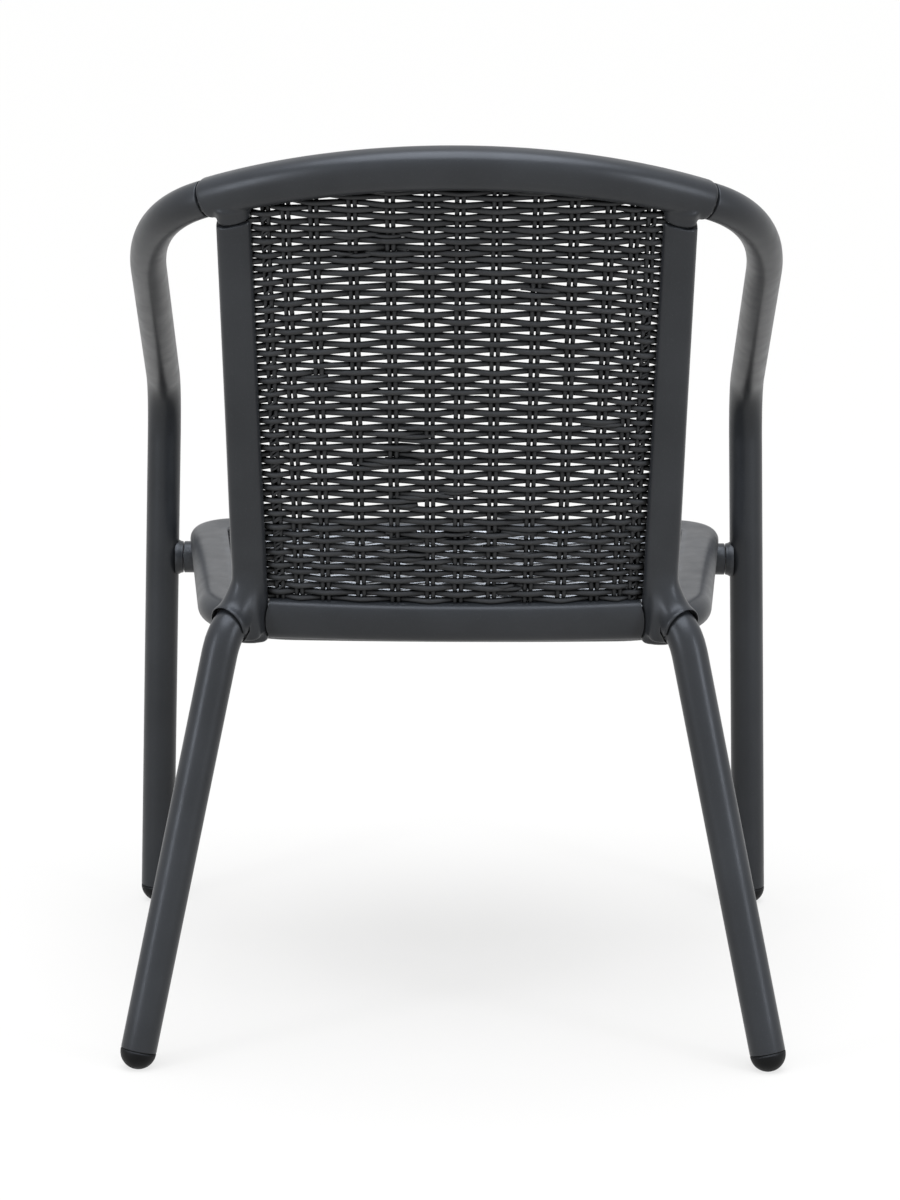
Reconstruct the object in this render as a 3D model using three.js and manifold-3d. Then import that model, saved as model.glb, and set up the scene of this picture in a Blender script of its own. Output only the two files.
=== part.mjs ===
// Armchair with a bent tube frame, a woven back and a woven seat.
// Millimetres, +Z up. The sitter faces -Y and the sitter's left is +X.
import * as THREE from 'three';
import { mergeVertices } from 'three/addons/utils/BufferGeometryUtils.js';
import Module from 'manifold-3d';

const wasm = await Module();
wasm.setup();

// Clearance left between pieces that touch
const GAP = 0.3;

// Round tube of the arms, front legs and rear legs
const TUBE_RADIUS = 16;
const TUBE_WALL = 2;
const BORE_RADIUS = TUBE_RADIUS - TUBE_WALL;

// Top rail: an arc in a leaning plane, thicker in the middle
const RAIL_HALF_SPAN = 213;
const RAIL_END_Y = -15;
const RAIL_END_Z = 773;
const RAIL_BOW = 53;
const RAIL_RISE = 36.5;
const RAIL_TALL = 37;
const RAIL_DEEP = 34;
const RAIL_END_TALL = 34;
const RAIL_END_DEEP = 33.4;
const RAIL_EDGE = 2.2;
const RAIL_POWER = 2.5;
const RAIL_WALL = 2.8;
const RAIL_FLOOR = 9.5;

// Short neck under each end of the rail
const NECK_DROP = 26;
const NECK_FLARE = 2.4;
const NECK_TALL = 10;
const NECK_SHARES = [[0, 0], [0.4, 0.06], [0.7, 0.3], [1, 1], [1.8, 1]];

// Uprights and the corner nodes at their feet
const UPRIGHT_INSET = 22.6;
const UPRIGHT_WIDE_TOP = 30.6;
const UPRIGHT_WIDE = 29.2;
const UPRIGHT_DEEP = 26;
const UPRIGHT_CORNER = 8;
const NODE_INSET = 31;
const NODE_X = RAIL_HALF_SPAN - NODE_INSET;
const NODE_Y = -97;
const NODE_Z = 390;
const NODE_BELOW = 24;
const NODE_EDGE = 5;

// Places of the feet, at the middle of each cap's dome, and the caps
const FRONT_FOOT_OUT = 79;
const FRONT_FOOT_X = RAIL_HALF_SPAN + FRONT_FOOT_OUT;
const FRONT_FOOT_Y = -503;
const REAR_FOOT_OUT = 97;
const REAR_FOOT_X = NODE_X + REAR_FOOT_OUT;
const REAR_FOOT_Y = 0;
const FOOT_DOME_Z = 15;
const CAP_RIM = 1;
const CAP_PLUG = 18;
const CAP_PLUG_EDGE = 1.5;

// Tenons between rail, uprights and cross rail
const TENON_WIDE = 12;
const TENON_DEEP = 12;
const TENON_TALL = 22;
const CROSS_TENON = 24;
const CROSS_TENON_TALL = 15;

// Oblique socket on each corner node, and the bend of the rear leg
const LIP_FROM_NODE = 25;
const LIP_RADIUS = 18.2;
const LIP_EDGE = 0.8;
const HORN_START = 50;
const HORN_RADIUS = 12.4;
const KNEE_OUT = 24.5;
const KNEE_BACK = 29;
const KNEE_DROP = 16;
const KNEE_BEFORE = 26;
const KNEE_AFTER = 34;
const LEG_SPIGOT_SHARE = 0.7;
const LEG_SCREW_SHARE = 0.42;

// Cross rail: an arc between the corner nodes
const CROSS_Z = 387;
const CROSS_BOW = 14;
const CROSS_TALL = 33.5;
const CROSS_END_TALL = 39.5;
const CROSS_DEEP = 25;
const CROSS_WRAP = 3;
const CROSS_POWER = 2.6;

// Arm and front leg in one tube
const ARM_REACH = 69;
const ARM_BEND_AFTER = 147;
const KINK_IN = 12;
const KINK_Z = 515;
const KINK_BEND = 50;
const SPIGOT_BACK = 12;
const SPIGOT_AHEAD_SHARE = 0.1;

// Seat ring, seen from above
const SEAT_TOP = 386;
const SEAT_THICK = 28;
const SEAT_FRONT_PAST = 16;
const SEAT_FRONT_BOW = 4;
const SEAT_REAR_GAP = 16.3;
const SEAT_REAR_BOW = 11;
const SEAT_LEG_GAP = 8.5;
const SEAT_NODE_OUT = 46;
const SEAT_FRONT_CORNER = 40;
const SEAT_REAR_CORNER = 85;
const RIM_WIDE = 36;
const LEDGE_WIDE = 8;
const LEDGE_DROP = 12;
const RIM_EDGE = 2.5;
const INNER_CORNER = 16;
const RING_WALL = 2.8;

// Woven panels and the wire frames they are wound on
const ROD_RADIUS = 3;
const ROD_IN_RAIL = 4;
const ROD_IN_CROSS = 3.75;
const ROD_IN_UPRIGHT = 3;
const CHANNEL_MOUTH = 7;
const WEAVE_THICK = 5;
const WEAVE_LIFT = 2.4;
const BACK_ROWS = 30;
const SEAT_ROWS = 26;
const PLAIN_BORDER = 1;

// Pairs of upright strands, as shares of the half width, between two plain columns at each edge
const PAIR_SHARES = [
  -1, -0.97, -0.935, -0.851, -0.728, -0.555, -0.379, -0.187,
  0, 0.142, 0.331, 0.514, 0.699, 0.837, 0.933, 0.97, 1,
];

// Bars that carry the ring's front from the front legs
const BAR_RADIUS = 15.3;
const BAR_BELOW_RING = 10;
const BAR_EDGE = 3;
const BAR_REACH = 62;
const COLLAR_THICK = 4.5;
const COLLAR_FLARE = 1.6;
const COLLAR_WRAP = 3;

// Fasteners
const STUD_RADIUS = 4;
const STUD_INTO_NODE = 12;
const STUD_INTO_RING = 14;
const BOSS_RADIUS = 9;
const BOSS_Z = 372;
const BOLT_INTO_BAR = 14;
const BOLT_HEAD_RADIUS = 6;
const BOLT_HEAD_TALL = 4;
const SCREW_RADIUS = 2.2;
const SCREW_HEAD_RADIUS = 4;
const SCREW_HEAD_TALL = 2.4;
const SCREW_EDGE = 0.8;
const RAIL_SCREW_BELOW = 12;
const RAIL_SCREW_INWARD = 3;
const RAIL_SCREW_SEAT = 10;
const RAIL_SCREW_LONG = 12;
const RING_SCREW_FROM_END = 16;
const RING_SCREW_SEAT = 8;
const RING_SCREW_INTO_RING = 12;
const LEG_SCREW_LONG = 9;

// Faces along the curves and round the sections
const TURN = Math.PI * 2;
const ROUND_SIDES = 16;
const BORE_SIDES = 10;
const SMALL_SIDES = 10;
const ROD_SIDES = 6;
const OVAL_SIDES = 16;
const CORNER_SIDES = 3;
const EDGE_STEPS = 2;
const RAIL_STEPS = 16;
const CROSS_STEPS = 10;
const ARM_STEPS = 10;
const KINK_STEPS = 7;
const KNEE_STEPS = 8;
const DOME_STEPS = 5;
const SIDE_STEPS = 5;
const FILLET_STEPS = 5;
const EDGE_POINTS = 4;
const NOSE_STEPS = 6;
const BAR_SIDES = 16;

// Length by which a cutting body runs past what it cuts
const OVERRUN = 64;

const HALF = 1 / 2;

const at = (x, y, z) => new THREE.Vector3(x, y, z);
const along = (from, direction, length) => from.clone().addScaledVector(direction, length);
const toward = (from, to) => to.clone().sub(from).normalize();
const mix = THREE.MathUtils.lerp;
const X_AXIS = at(1, 0, 0);
const Y_AXIS = at(0, 1, 0);
const Z_AXIS = at(0, 0, 1);

// Solid from loose vertices, its faces turned outwards
function solidOf(positions, index) {
  let solid = new wasm.Manifold(new wasm.Mesh({
    numProp: 3,
    vertProperties: new Float32Array(positions),
    triVerts: new Uint32Array(index),
  }));
  if (solid.volume() < 0) {
    const turned = [];
    for (let i = 0; i < index.length; i += 3) turned.push(index[i], index[i + 2], index[i + 1]);
    solid = new wasm.Manifold(new wasm.Mesh({
      numProp: 3,
      vertProperties: new Float32Array(positions),
      triVerts: new Uint32Array(turned),
    }));
  }
  return solid;
}

function solidFromGeometry(geometry) {
  const bare = geometry.clone();
  bare.deleteAttribute('normal');
  bare.deleteAttribute('uv');
  const merged = mergeVertices(bare, 1e-3);
  return solidOf(merged.attributes.position.array, merged.index.array);
}

function geometryOf(solid) {
  const { vertProperties, triVerts, numProp } = solid.getMesh();
  const positions = [];
  for (let i = 0; i < vertProperties.length; i += numProp) {
    positions.push(vertProperties[i], vertProperties[i + 1], vertProperties[i + 2]);
  }
  const geometry = new THREE.BufferGeometry();
  geometry.setAttribute('position', new THREE.Float32BufferAttribute(positions, 3));
  geometry.setIndex(Array.from(triVerts));
  geometry.computeVertexNormals();
  return geometry;
}

// The same solid on the other side of the chair's middle plane
function mirrored(solid) {
  const geometry = geometryOf(solid);
  geometry.scale(-1, 1, 1);
  return solidOf(geometry.attributes.position.array, geometry.index.array);
}

// Body through a row of closed outlines; a loop joins the last outline to the first
function loft(rings, isLoop = false) {
  const count = rings[0].length;
  const positions = rings.flatMap((ring) => ring.flatMap((p) => [p.x, p.y, p.z]));
  const index = [];
  const bands = isLoop ? rings.length : rings.length - 1;
  for (let i = 0; i < bands; i += 1) {
    const a = i * count;
    const b = ((i + 1) % rings.length) * count;
    for (let j = 0; j < count; j += 1) {
      const k = (j + 1) % count;
      index.push(a + j, a + k, b + k, a + j, b + k, b + j);
    }
  }
  if (!isLoop) {
    const last = (rings.length - 1) * count;
    for (let j = 1; j < count - 1; j += 1) {
      index.push(0, j + 1, j, last, last + j, last + j + 1);
    }
  }
  return solidOf(positions, index);
}

const place = (section, origin, side, up) => section.map(([x, y]) => (
  along(along(origin, side, x), up, y)
));

function superEllipse(wide, tall, power, count) {
  const bend = (value) => Math.sign(value) * Math.abs(value) ** (2 / power);
  return Array.from({ length: count }, (unused, i) => {
    const angle = (i / count) * TURN;
    return [wide * HALF * bend(Math.cos(angle)), tall * HALF * bend(Math.sin(angle))];
  });
}

const circle = (radius, count) => superEllipse(radius * 2, radius * 2, 2, count);

function roundedBox(wide, tall, radius) {
  const points = [];
  for (let quarter = 0; quarter < 4; quarter += 1) {
    const x = [1, -1, -1, 1][quarter] * (wide * HALF - radius);
    const y = [1, 1, -1, -1][quarter] * (tall * HALF - radius);
    for (let k = 0; k <= CORNER_SIDES; k += 1) {
      const angle = ((quarter + k / CORNER_SIDES) / 4) * TURN;
      points.push([x + radius * Math.cos(angle), y + radius * Math.sin(angle)]);
    }
  }
  return points;
}

function box2(wide, tall) {
  const x = wide * HALF;
  const y = tall * HALF;
  return [[x, y], [-x, y], [-x, -y], [x, -y]];
}

// Two axes square to a direction, the second as near as it can be to a hint
function frameOf(direction, hint) {
  const up = along(hint, direction, -hint.dot(direction)).normalize();
  return { side: direction.clone().cross(up), up };
}

// Straight bar of any section between two points
function bar(from, to, section, hint) {
  const { side, up } = frameOf(toward(from, to), hint);
  return loft([place(section, from, side, up), place(section, to, side, up)]);
}

const hintFor = (direction) => (Math.abs(direction.z) > HALF ? Y_AXIS : Z_AXIS);

function roundBar(from, to, radius, count = SMALL_SIDES) {
  return bar(from, to, circle(radius, count), hintFor(toward(from, to)));
}

// Distance from the middle of a many-sided circle to its flats, for a radius of 1
const flatShare = (count) => Math.cos(TURN * HALF / count);

// Turned body: pairs of radius and distance from the origin along a direction
function turned(origin, direction, profile, count) {
  const points = profile.map(([radius, distance]) => new THREE.Vector2(radius, distance));
  const geometry = new THREE.LatheGeometry(points, count);
  geometry.applyQuaternion(new THREE.Quaternion().setFromUnitVectors(Y_AXIS, direction));
  geometry.translate(origin.x, origin.y, origin.z);
  return solidFromGeometry(geometry);
}

// Screw whose head stands on the origin and whose shank runs along the direction
function screw(origin, direction, radius, headRadius, headTall, long) {
  return turned(origin, direction, [
    [0, -headTall - GAP],
    [headRadius - SCREW_EDGE, -headTall - GAP],
    [headRadius, SCREW_EDGE - headTall - GAP],
    [headRadius, -GAP],
    [radius, -GAP],
    [radius, long - SCREW_EDGE],
    [radius - SCREW_EDGE, long],
    [0, long],
  ], SMALL_SIDES);
}

// Hole for the same screw, its counterbore open to the outside
function screwHole(origin, direction, radius, headRadius, long, open) {
  const shank = roundBar(origin, along(origin, direction, long + GAP), radius + GAP);
  if (!open) return shank;
  return shank.add(roundBar(along(origin, direction, -open), origin, headRadius + GAP));
}

// Arc in a leaning plane, measured along its length from the middle
class Arc {
  constructor(end, middle) {
    const rise = at(0, middle.y - end.y, middle.z - end.z);
    const sag = rise.length();
    this.out = rise.divideScalar(sag);
    this.radius = (end.x ** 2 + sag ** 2) / (sag * 2);
    this.centre = along(middle, this.out, -this.radius);
    this.halfLength = this.lengthAt(end.x);
  }

  lengthAt(x) {
    return this.radius * Math.asin(x / this.radius);
  }

  pointAt(length) {
    const angle = length / this.radius;
    const outward = along(this.centre, this.out, this.radius * Math.cos(angle));
    return along(outward, X_AXIS, this.radius * Math.sin(angle));
  }

  tangentAt(length) {
    const angle = length / this.radius;
    return along(at(0, 0, 0), X_AXIS, Math.cos(angle)).addScaledVector(this.out, -Math.sin(angle));
  }
}

// Path of straight and bent pieces, each with its own number of steps
class BentPath extends THREE.Curve {
  constructor(pieces) {
    super();
    this.pieces = pieces;
    this.steps = pieces.reduce((sum, [, steps]) => sum + steps, 0);
  }

  locate(share) {
    let left = share * this.steps;
    let i = 0;
    while (i < this.pieces.length - 1 && left > this.pieces[i][1]) {
      left -= this.pieces[i][1];
      i += 1;
    }
    const [curve, steps] = this.pieces[i];
    return [curve, Math.min(left / steps, 1)];
  }

  getPointAt(share) {
    const [curve, t] = this.locate(share);
    return curve.getPoint(t);
  }

  getTangentAt(share) {
    const [curve, t] = this.locate(share);
    return curve.getTangent(t);
  }
}

function tubeAlong(path) {
  const ring = new THREE.Shape(circle(TUBE_RADIUS, ROUND_SIDES).map(([x, y]) => new THREE.Vector2(x, y)));
  ring.holes.push(new THREE.Path(circle(BORE_RADIUS, BORE_SIDES).map(([x, y]) => new THREE.Vector2(x, y))));
  return solidFromGeometry(new THREE.ExtrudeGeometry(ring, { steps: path.steps, extrudePath: path }));
}

// Round rod through points of a curve, from one share of it to another
function sweep(points, radii, count) {
  const hint = hintFor(toward(points[0], points[points.length - 1]));
  let last = hint;
  return loft(points.map((point, i) => {
    const before = points[Math.max(i - 1, 0)];
    const after = points[Math.min(i + 1, points.length - 1)];
    const { side, up } = frameOf(toward(before, after), last);
    last = up;
    return place(circle(radii[i], count), point, side, up);
  }));
}

// Largest round piece that fits in a tube's bore
const plugRadius = BORE_RADIUS * flatShare(BORE_SIDES) - GAP;

// Curves that place the frame
const railEnd = at(RAIL_HALF_SPAN, RAIL_END_Y, RAIL_END_Z);
const railMiddle = at(0, RAIL_END_Y + RAIL_BOW, RAIL_END_Z + RAIL_RISE);
const railArc = new Arc(railEnd, railMiddle);
const node = at(NODE_X, NODE_Y, NODE_Z);
const uprightTop = railArc.pointAt(railArc.lengthAt(RAIL_HALF_SPAN - UPRIGHT_INSET));
const uprightUp = toward(node, uprightTop);
const uprightLength = uprightTop.distanceTo(node);
const seamHeight = uprightLength - NECK_DROP;
const backUp = at(0, uprightUp.y, uprightUp.z).normalize();
const { side: uprightDepth, up: uprightSide } = frameOf(uprightUp, X_AXIS);
const crossEnd = at(NODE_X - UPRIGHT_WIDE * HALF, NODE_Y, CROSS_Z);
const crossArc = new Arc(crossEnd, at(0, NODE_Y + CROSS_BOW, CROSS_Z));

// Upright from its top seam to the foot of its node
function uprightBody(grow) {
  const rings = [];
  const ringAt = (height, wide, inset) => rings.push(place(
    roundedBox(
      wide - inset * 2 + grow * 2,
      UPRIGHT_DEEP - inset * 2 + grow * 2,
      UPRIGHT_CORNER - inset + grow,
    ),
    along(node, uprightUp, height),
    uprightSide,
    uprightDepth,
  ));
  ringAt(seamHeight - GAP, UPRIGHT_WIDE_TOP, 0);
  ringAt(seamHeight * HALF, UPRIGHT_WIDE, 0);
  ringAt(0, UPRIGHT_WIDE, 0);
  for (let i = 0; i <= EDGE_STEPS; i += 1) {
    const angle = (i / EDGE_STEPS) * TURN / 4;
    const drop = NODE_BELOW - NODE_EDGE * (1 - Math.sin(angle)) + grow;
    ringAt(-drop, UPRIGHT_WIDE, NODE_EDGE * (1 - Math.cos(angle)));
  }
  return loft(rings);
}

// Rear leg: leaves the socket obliquely, bends and runs straight to its foot
const knee = at(NODE_X + KNEE_OUT, NODE_Y + KNEE_BACK, NODE_Z - KNEE_DROP);
const socketOut = toward(node, knee);
const rearFoot = at(REAR_FOOT_X, REAR_FOOT_Y, FOOT_DOME_Z);
const rearLegDown = toward(knee, rearFoot);
const lipCentre = along(node, socketOut, LIP_FROM_NODE);
const kneeCurve = new THREE.QuadraticBezierCurve3(
  along(knee, socketOut, -KNEE_BEFORE),
  knee,
  along(knee, rearLegDown, KNEE_AFTER),
);

// Arm and front leg
const armOut = railArc.tangentAt(railArc.halfLength);
const armCorner = along(railEnd, armOut, ARM_REACH);
const kink = at(FRONT_FOOT_X - KINK_IN, FRONT_FOOT_Y, KINK_Z);
const frontFoot = at(FRONT_FOOT_X, FRONT_FOOT_Y, FOOT_DOME_Z);
const armDown = toward(armCorner, kink);
const frontLegDown = toward(kink, frontFoot);
const armCurve = new THREE.QuadraticBezierCurve3(
  along(railEnd, armOut, GAP),
  armCorner,
  along(armCorner, armDown, ARM_BEND_AFTER),
);
const frontLegXAt = (z) => frontFoot.x + (frontLegDown.x / frontLegDown.z) * (z - frontFoot.z);

// Block that fills the space beyond a plane
function beyond(origin, direction) {
  return bar(origin, along(origin, direction, OVERRUN), box2(OVERRUN, OVERRUN), hintFor(direction));
}

// Rounded corner between two straight edges of an outline
function filletAt(corner, before, after, radius, steps) {
  const a = toward(corner, before);
  const b = toward(corner, after);
  const halfAngle = a.angleTo(b) * HALF;
  const centre = along(corner, a.clone().add(b).normalize(), radius / Math.sin(halfAngle));
  const reach = radius / Math.tan(halfAngle);
  const start = along(corner, a, reach).sub(centre);
  const end = along(corner, b, reach).sub(centre);
  const sweepAngle = start.angleTo(end);
  return Array.from({ length: steps + 1 }, (unused, i) => {
    const t = i / steps;
    const arm = start.clone().multiplyScalar(Math.sin((1 - t) * sweepAngle))
      .add(end.clone().multiplyScalar(Math.sin(t * sweepAngle)))
      .divideScalar(Math.sin(sweepAngle));
    return centre.clone().add(arm);
  });
}

// Outline of the seat, seen from above, drawn in by an inset
const seatRearY = NODE_Y - UPRIGHT_DEEP * HALF - SEAT_REAR_GAP;
const seatFrontY = FRONT_FOOT_Y - SEAT_FRONT_PAST;
const seatFrontX = frontLegXAt(SEAT_TOP) - TUBE_RADIUS - SEAT_LEG_GAP;
const seatRearX = NODE_X + SEAT_NODE_OUT;
const seatMiddleY = (seatRearY + seatFrontY) * HALF;
const seatHalfDeep = (seatRearY - seatFrontY) * HALF;

function seatOutline(inset, frontCorner, rearCorner) {
  const slope = (seatFrontX - seatRearX) / (seatRearY - seatFrontY);
  const front = seatFrontY + inset;
  const rear = seatRearY - inset;
  const sideAt = (y) => seatFrontX - (y - seatFrontY) * slope - inset;
  const corners = [
    [at(sideAt(front), front, 0), frontCorner],
    [at(sideAt(rear), rear, 0), rearCorner],
    [at(-sideAt(rear), rear, 0), rearCorner],
    [at(-sideAt(front), front, 0), frontCorner],
  ];
  const points = [];
  corners.forEach(([corner, radius], i) => {
    const before = corners[(i + 3) % 4][0];
    const [next, nextRadius] = corners[(i + 1) % 4];
    const fillet = filletAt(corner, before, next, radius, FILLET_STEPS);
    const afterNext = corners[(i + 2) % 4][0];
    const nextStart = filletAt(next, corner, afterNext, nextRadius, FILLET_STEPS)[0];
    points.push(...fillet);
    for (let k = 1; k < EDGE_POINTS; k += 1) {
      points.push(fillet[FILLET_STEPS].clone().lerp(nextStart, k / EDGE_POINTS));
    }
  });
  return points.map((p) => {
    const depthShare = (p.y - seatMiddleY) / seatHalfDeep;
    const sideShare = 1 - (p.x / seatRearX) ** 2;
    const bow = depthShare > 0 ? SEAT_REAR_BOW : SEAT_FRONT_BOW;
    return at(p.x, p.y + bow * depthShare * Math.max(sideShare, 0), 0);
  });
}

const seatOuter = seatOutline(0, SEAT_FRONT_CORNER, SEAT_REAR_CORNER);
const ringWide = RIM_WIDE + LEDGE_WIDE;
const seatInner = seatOutline(ringWide, INNER_CORNER, SEAT_REAR_CORNER - ringWide * HALF);
const seatLoop = (inset, z) => seatOuter.map((p, i) => {
  const q = p.clone().lerp(seatInner[i], inset / ringWide);
  return at(q.x, q.y, z);
});
const seatNose = SEAT_THICK * HALF;
const seatMiddleZ = SEAT_TOP - seatNose;
const ledgeZ = SEAT_TOP - LEDGE_DROP;

function noseProfile(steps) {
  return Array.from({ length: steps + 1 }, (unused, i) => {
    const angle = ((i / steps) - HALF) * TURN * HALF;
    return [seatNose * (1 - Math.cos(angle)), seatMiddleZ + seatNose * Math.sin(angle)];
  });
}

const seatRing = loft([
  ...noseProfile(NOSE_STEPS),
  [RIM_WIDE - RIM_EDGE, SEAT_TOP],
  [RIM_WIDE, SEAT_TOP - RIM_EDGE],
  [RIM_WIDE, ledgeZ],
  [ringWide, ledgeZ],
  [ringWide, SEAT_TOP - SEAT_THICK + RIM_EDGE],
  [ringWide - RIM_EDGE, SEAT_TOP - SEAT_THICK],
].map(([inset, z]) => seatLoop(inset, z)), true);

// Hollow inside the ring, open at the holes of its fasteners
const innerNose = seatNose - RING_WALL;
const ringHollow = loft([
  ...noseProfile(NOSE_STEPS * HALF).map(([inset, z]) => [
    seatNose + (inset - seatNose) * (innerNose / seatNose),
    seatMiddleZ + (z - seatMiddleZ) * (innerNose / seatNose),
  ]),
  [RIM_WIDE - RING_WALL, SEAT_TOP - RING_WALL],
  [RIM_WIDE - RING_WALL, ledgeZ - RING_WALL],
  [ringWide - RING_WALL, ledgeZ - RING_WALL],
  [ringWide - RING_WALL, SEAT_TOP - SEAT_THICK + RING_WALL],
].map(([inset, z]) => seatLoop(inset, z)), true);

// Filled shape of the ring, a little larger, that pieces ending at it are shaped to
function ringEnvelope(grow) {
  return loft(noseProfile(NOSE_STEPS).map(([inset, z]) => {
    const reach = 1 + grow / seatNose;
    return seatLoop(seatNose + (inset - seatNose) * reach, seatMiddleZ + (z - seatMiddleZ) * reach);
  }));
}

// Wire frame of the back and the surface stretched across it
const railToRod = RAIL_TALL * HALF - ROD_IN_RAIL;
const crossToRod = CROSS_TALL * HALF - ROD_IN_CROSS;
const uprightToRod = UPRIGHT_WIDE * HALF - ROD_IN_UPRIGHT;
const topRodAt = (length) => along(railArc.pointAt(length), backUp, -railToRod);
const lowRodAt = (length) => along(crossArc.pointAt(length), backUp, crossToRod);
const topRodHalf = railArc.lengthAt(uprightTop.x - uprightToRod);
const lowRodHalf = crossArc.lengthAt(NODE_X - uprightToRod);

// Point and normal at a share across (-1 to 1) and a share down (0 to 1)
function backAt(across, down, inset) {
  const cornerSine = railArc.tangentAt(topRodHalf).cross(uprightUp).length();
  const topLength = across * (topRodHalf - inset / cornerSine);
  const lowLength = across * (lowRodHalf - inset);
  const top = topRodAt(topLength);
  const low = lowRodAt(lowLength);
  const fall = toward(top, low);
  const run = railArc.tangentAt(topLength).lerp(crossArc.tangentAt(lowLength), down).normalize();
  const height = top.distanceTo(low);
  const point = along(top, fall, inset + (height - inset * 2) * down);
  return { point, normal: run.cross(fall).normalize() };
}

const backLoop = [];
for (let i = 0; i < RAIL_STEPS; i += 1) backLoop.push([1 - (2 * i) / RAIL_STEPS, 0]);
for (let i = 0; i < SIDE_STEPS; i += 1) backLoop.push([-1, i / SIDE_STEPS]);
for (let i = 0; i < RAIL_STEPS; i += 1) backLoop.push([(2 * i) / RAIL_STEPS - 1, 1]);
for (let i = 0; i < SIDE_STEPS; i += 1) backLoop.push([1, 1 - i / SIDE_STEPS]);

// Section carried round the back's frame: x outwards from the panel, y through it
function aroundBack(section) {
  const stations = backLoop.map(([across, down]) => backAt(across, down, 0));
  return loft(stations.map(({ point, normal }, i) => {
    const before = stations[(i + stations.length - 1) % stations.length].point;
    const after = stations[(i + 1) % stations.length].point;
    const arriving = toward(before, point);
    const leaving = toward(point, after);
    const middle = arriving.clone().add(leaving).normalize();
    const outward = normal.clone().cross(middle).normalize();
    const stretch = 1 / middle.dot(leaving);
    return section.map(([x, y]) => along(along(point, outward, x * stretch), normal, y));
  }), true);
}

const channelWide = (ROD_RADIUS + GAP) * 2;
const channelSection = [
  [ROD_RADIUS + GAP, channelWide * HALF],
  [-CHANNEL_MOUTH, channelWide * HALF],
  [-CHANNEL_MOUTH, -channelWide * HALF],
  [ROD_RADIUS + GAP, -channelWide * HALF],
];
const backChannel = aroundBack(channelSection);
const backRod = aroundBack(circle(ROD_RADIUS, ROD_SIDES));

// Woven panel between two faces, each raised where a row passes over a pair of strands.
// The face is told its share across (-1 to 1), its share down (0 to 1), its side and the rise there.
function panel(rows, pointAt) {
  const columns = PAIR_SHARES.length - 1;
  const isPlain = (i, count) => i <= PLAIN_BORDER || i >= count - PLAIN_BORDER;
  const riseAt = (i, j, face) => {
    if (isPlain(i, columns) || isPlain(j, rows)) return 0;
    return ((i + j + face) % 2) * WEAVE_LIFT;
  };
  const faceAt = (i, j, face) => pointAt(PAIR_SHARES[i], j / rows, face, riseAt(i, j, face));
  const positions = [];
  const index = [];
  const idAt = (i, j, face) => (face * (rows + 1) + j) * (columns + 1) + i;
  for (let face = 0; face < 2; face += 1) {
    for (let j = 0; j <= rows; j += 1) {
      for (let i = 0; i <= columns; i += 1) {
        const p = faceAt(i, j, face);
        positions.push(p.x, p.y, p.z);
      }
    }
  }
  const quad = (a, b, c, d) => index.push(a, b, c, a, c, d);
  for (let j = 0; j < rows; j += 1) {
    for (let i = 0; i < columns; i += 1) {
      quad(idAt(i, j, 0), idAt(i + 1, j, 0), idAt(i + 1, j + 1, 0), idAt(i, j + 1, 0));
      quad(idAt(i, j, 1), idAt(i, j + 1, 1), idAt(i + 1, j + 1, 1), idAt(i + 1, j, 1));
    }
    quad(idAt(0, j, 0), idAt(0, j + 1, 0), idAt(0, j + 1, 1), idAt(0, j, 1));
    quad(idAt(columns, j, 0), idAt(columns, j, 1), idAt(columns, j + 1, 1), idAt(columns, j + 1, 0));
  }
  for (let i = 0; i < columns; i += 1) {
    quad(idAt(i, 0, 0), idAt(i, 0, 1), idAt(i + 1, 0, 1), idAt(i + 1, 0, 0));
    quad(idAt(i, rows, 0), idAt(i + 1, rows, 0), idAt(i + 1, rows, 1), idAt(i, rows, 1));
  }
  return solidOf(positions, index);
}

const backWeave = panel(BACK_ROWS, (across, down, face, rise) => {
  const { point, normal } = backAt(across, down, ROD_RADIUS + GAP);
  return along(point, normal, (face - HALF) * (WEAVE_THICK + rise * 2));
});

// Seat frame and panel, both on the ring's inner ledge
const seatRodInset = RIM_WIDE + LEDGE_WIDE * HALF;
const seatRodZ = ledgeZ + GAP + ROD_RADIUS;
const seatRod = loft(circle(ROD_RADIUS, ROD_SIDES).map(([x, y]) => (
  seatLoop(seatRodInset + x, seatRodZ + y)
)), true);
const seatPanelInset = seatRodInset + ROD_RADIUS + GAP;
const seatPanelLow = seatRodZ - WEAVE_THICK * HALF;
const seatPanelBox = new THREE.Box3().setFromPoints(seatLoop(seatPanelInset, seatPanelLow));
const seatWeave = panel(SEAT_ROWS, (across, down, face, rise) => at(
  seatPanelBox.max.x * across,
  mix(seatPanelBox.max.y, seatPanelBox.min.y, down),
  seatPanelLow + face * (WEAVE_THICK + rise),
)).intersect(loft([
  seatLoop(seatPanelInset, seatPanelLow - WEAVE_THICK),
  seatLoop(seatPanelInset, seatPanelLow + WEAVE_THICK * 2),
]));

// Left upright with its node, socket lip, spigot, tenons and seat boss
const kneeShares = Array.from({ length: KNEE_STEPS + 1 }, (unused, i) => i / KNEE_STEPS);
const hornShares = kneeShares.slice(0, -1);
const hornCurve = new THREE.QuadraticBezierCurve3(along(node, uprightUp, HORN_START), node, lipCentre);
const horn = sweep(
  [...hornShares.map((t) => hornCurve.getPoint(t)), along(lipCentre, socketOut, -LIP_EDGE), lipCentre],
  [...hornShares.map((t) => mix(HORN_RADIUS, LIP_RADIUS, t * t)), LIP_RADIUS, LIP_RADIUS - LIP_EDGE],
  ROUND_SIDES,
);
const legSpigot = sweep(
  kneeShares.map((t) => kneeCurve.getPoint(t * LEG_SPIGOT_SHARE)),
  kneeShares.map(() => plugRadius),
  BORE_SIDES,
);

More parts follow.
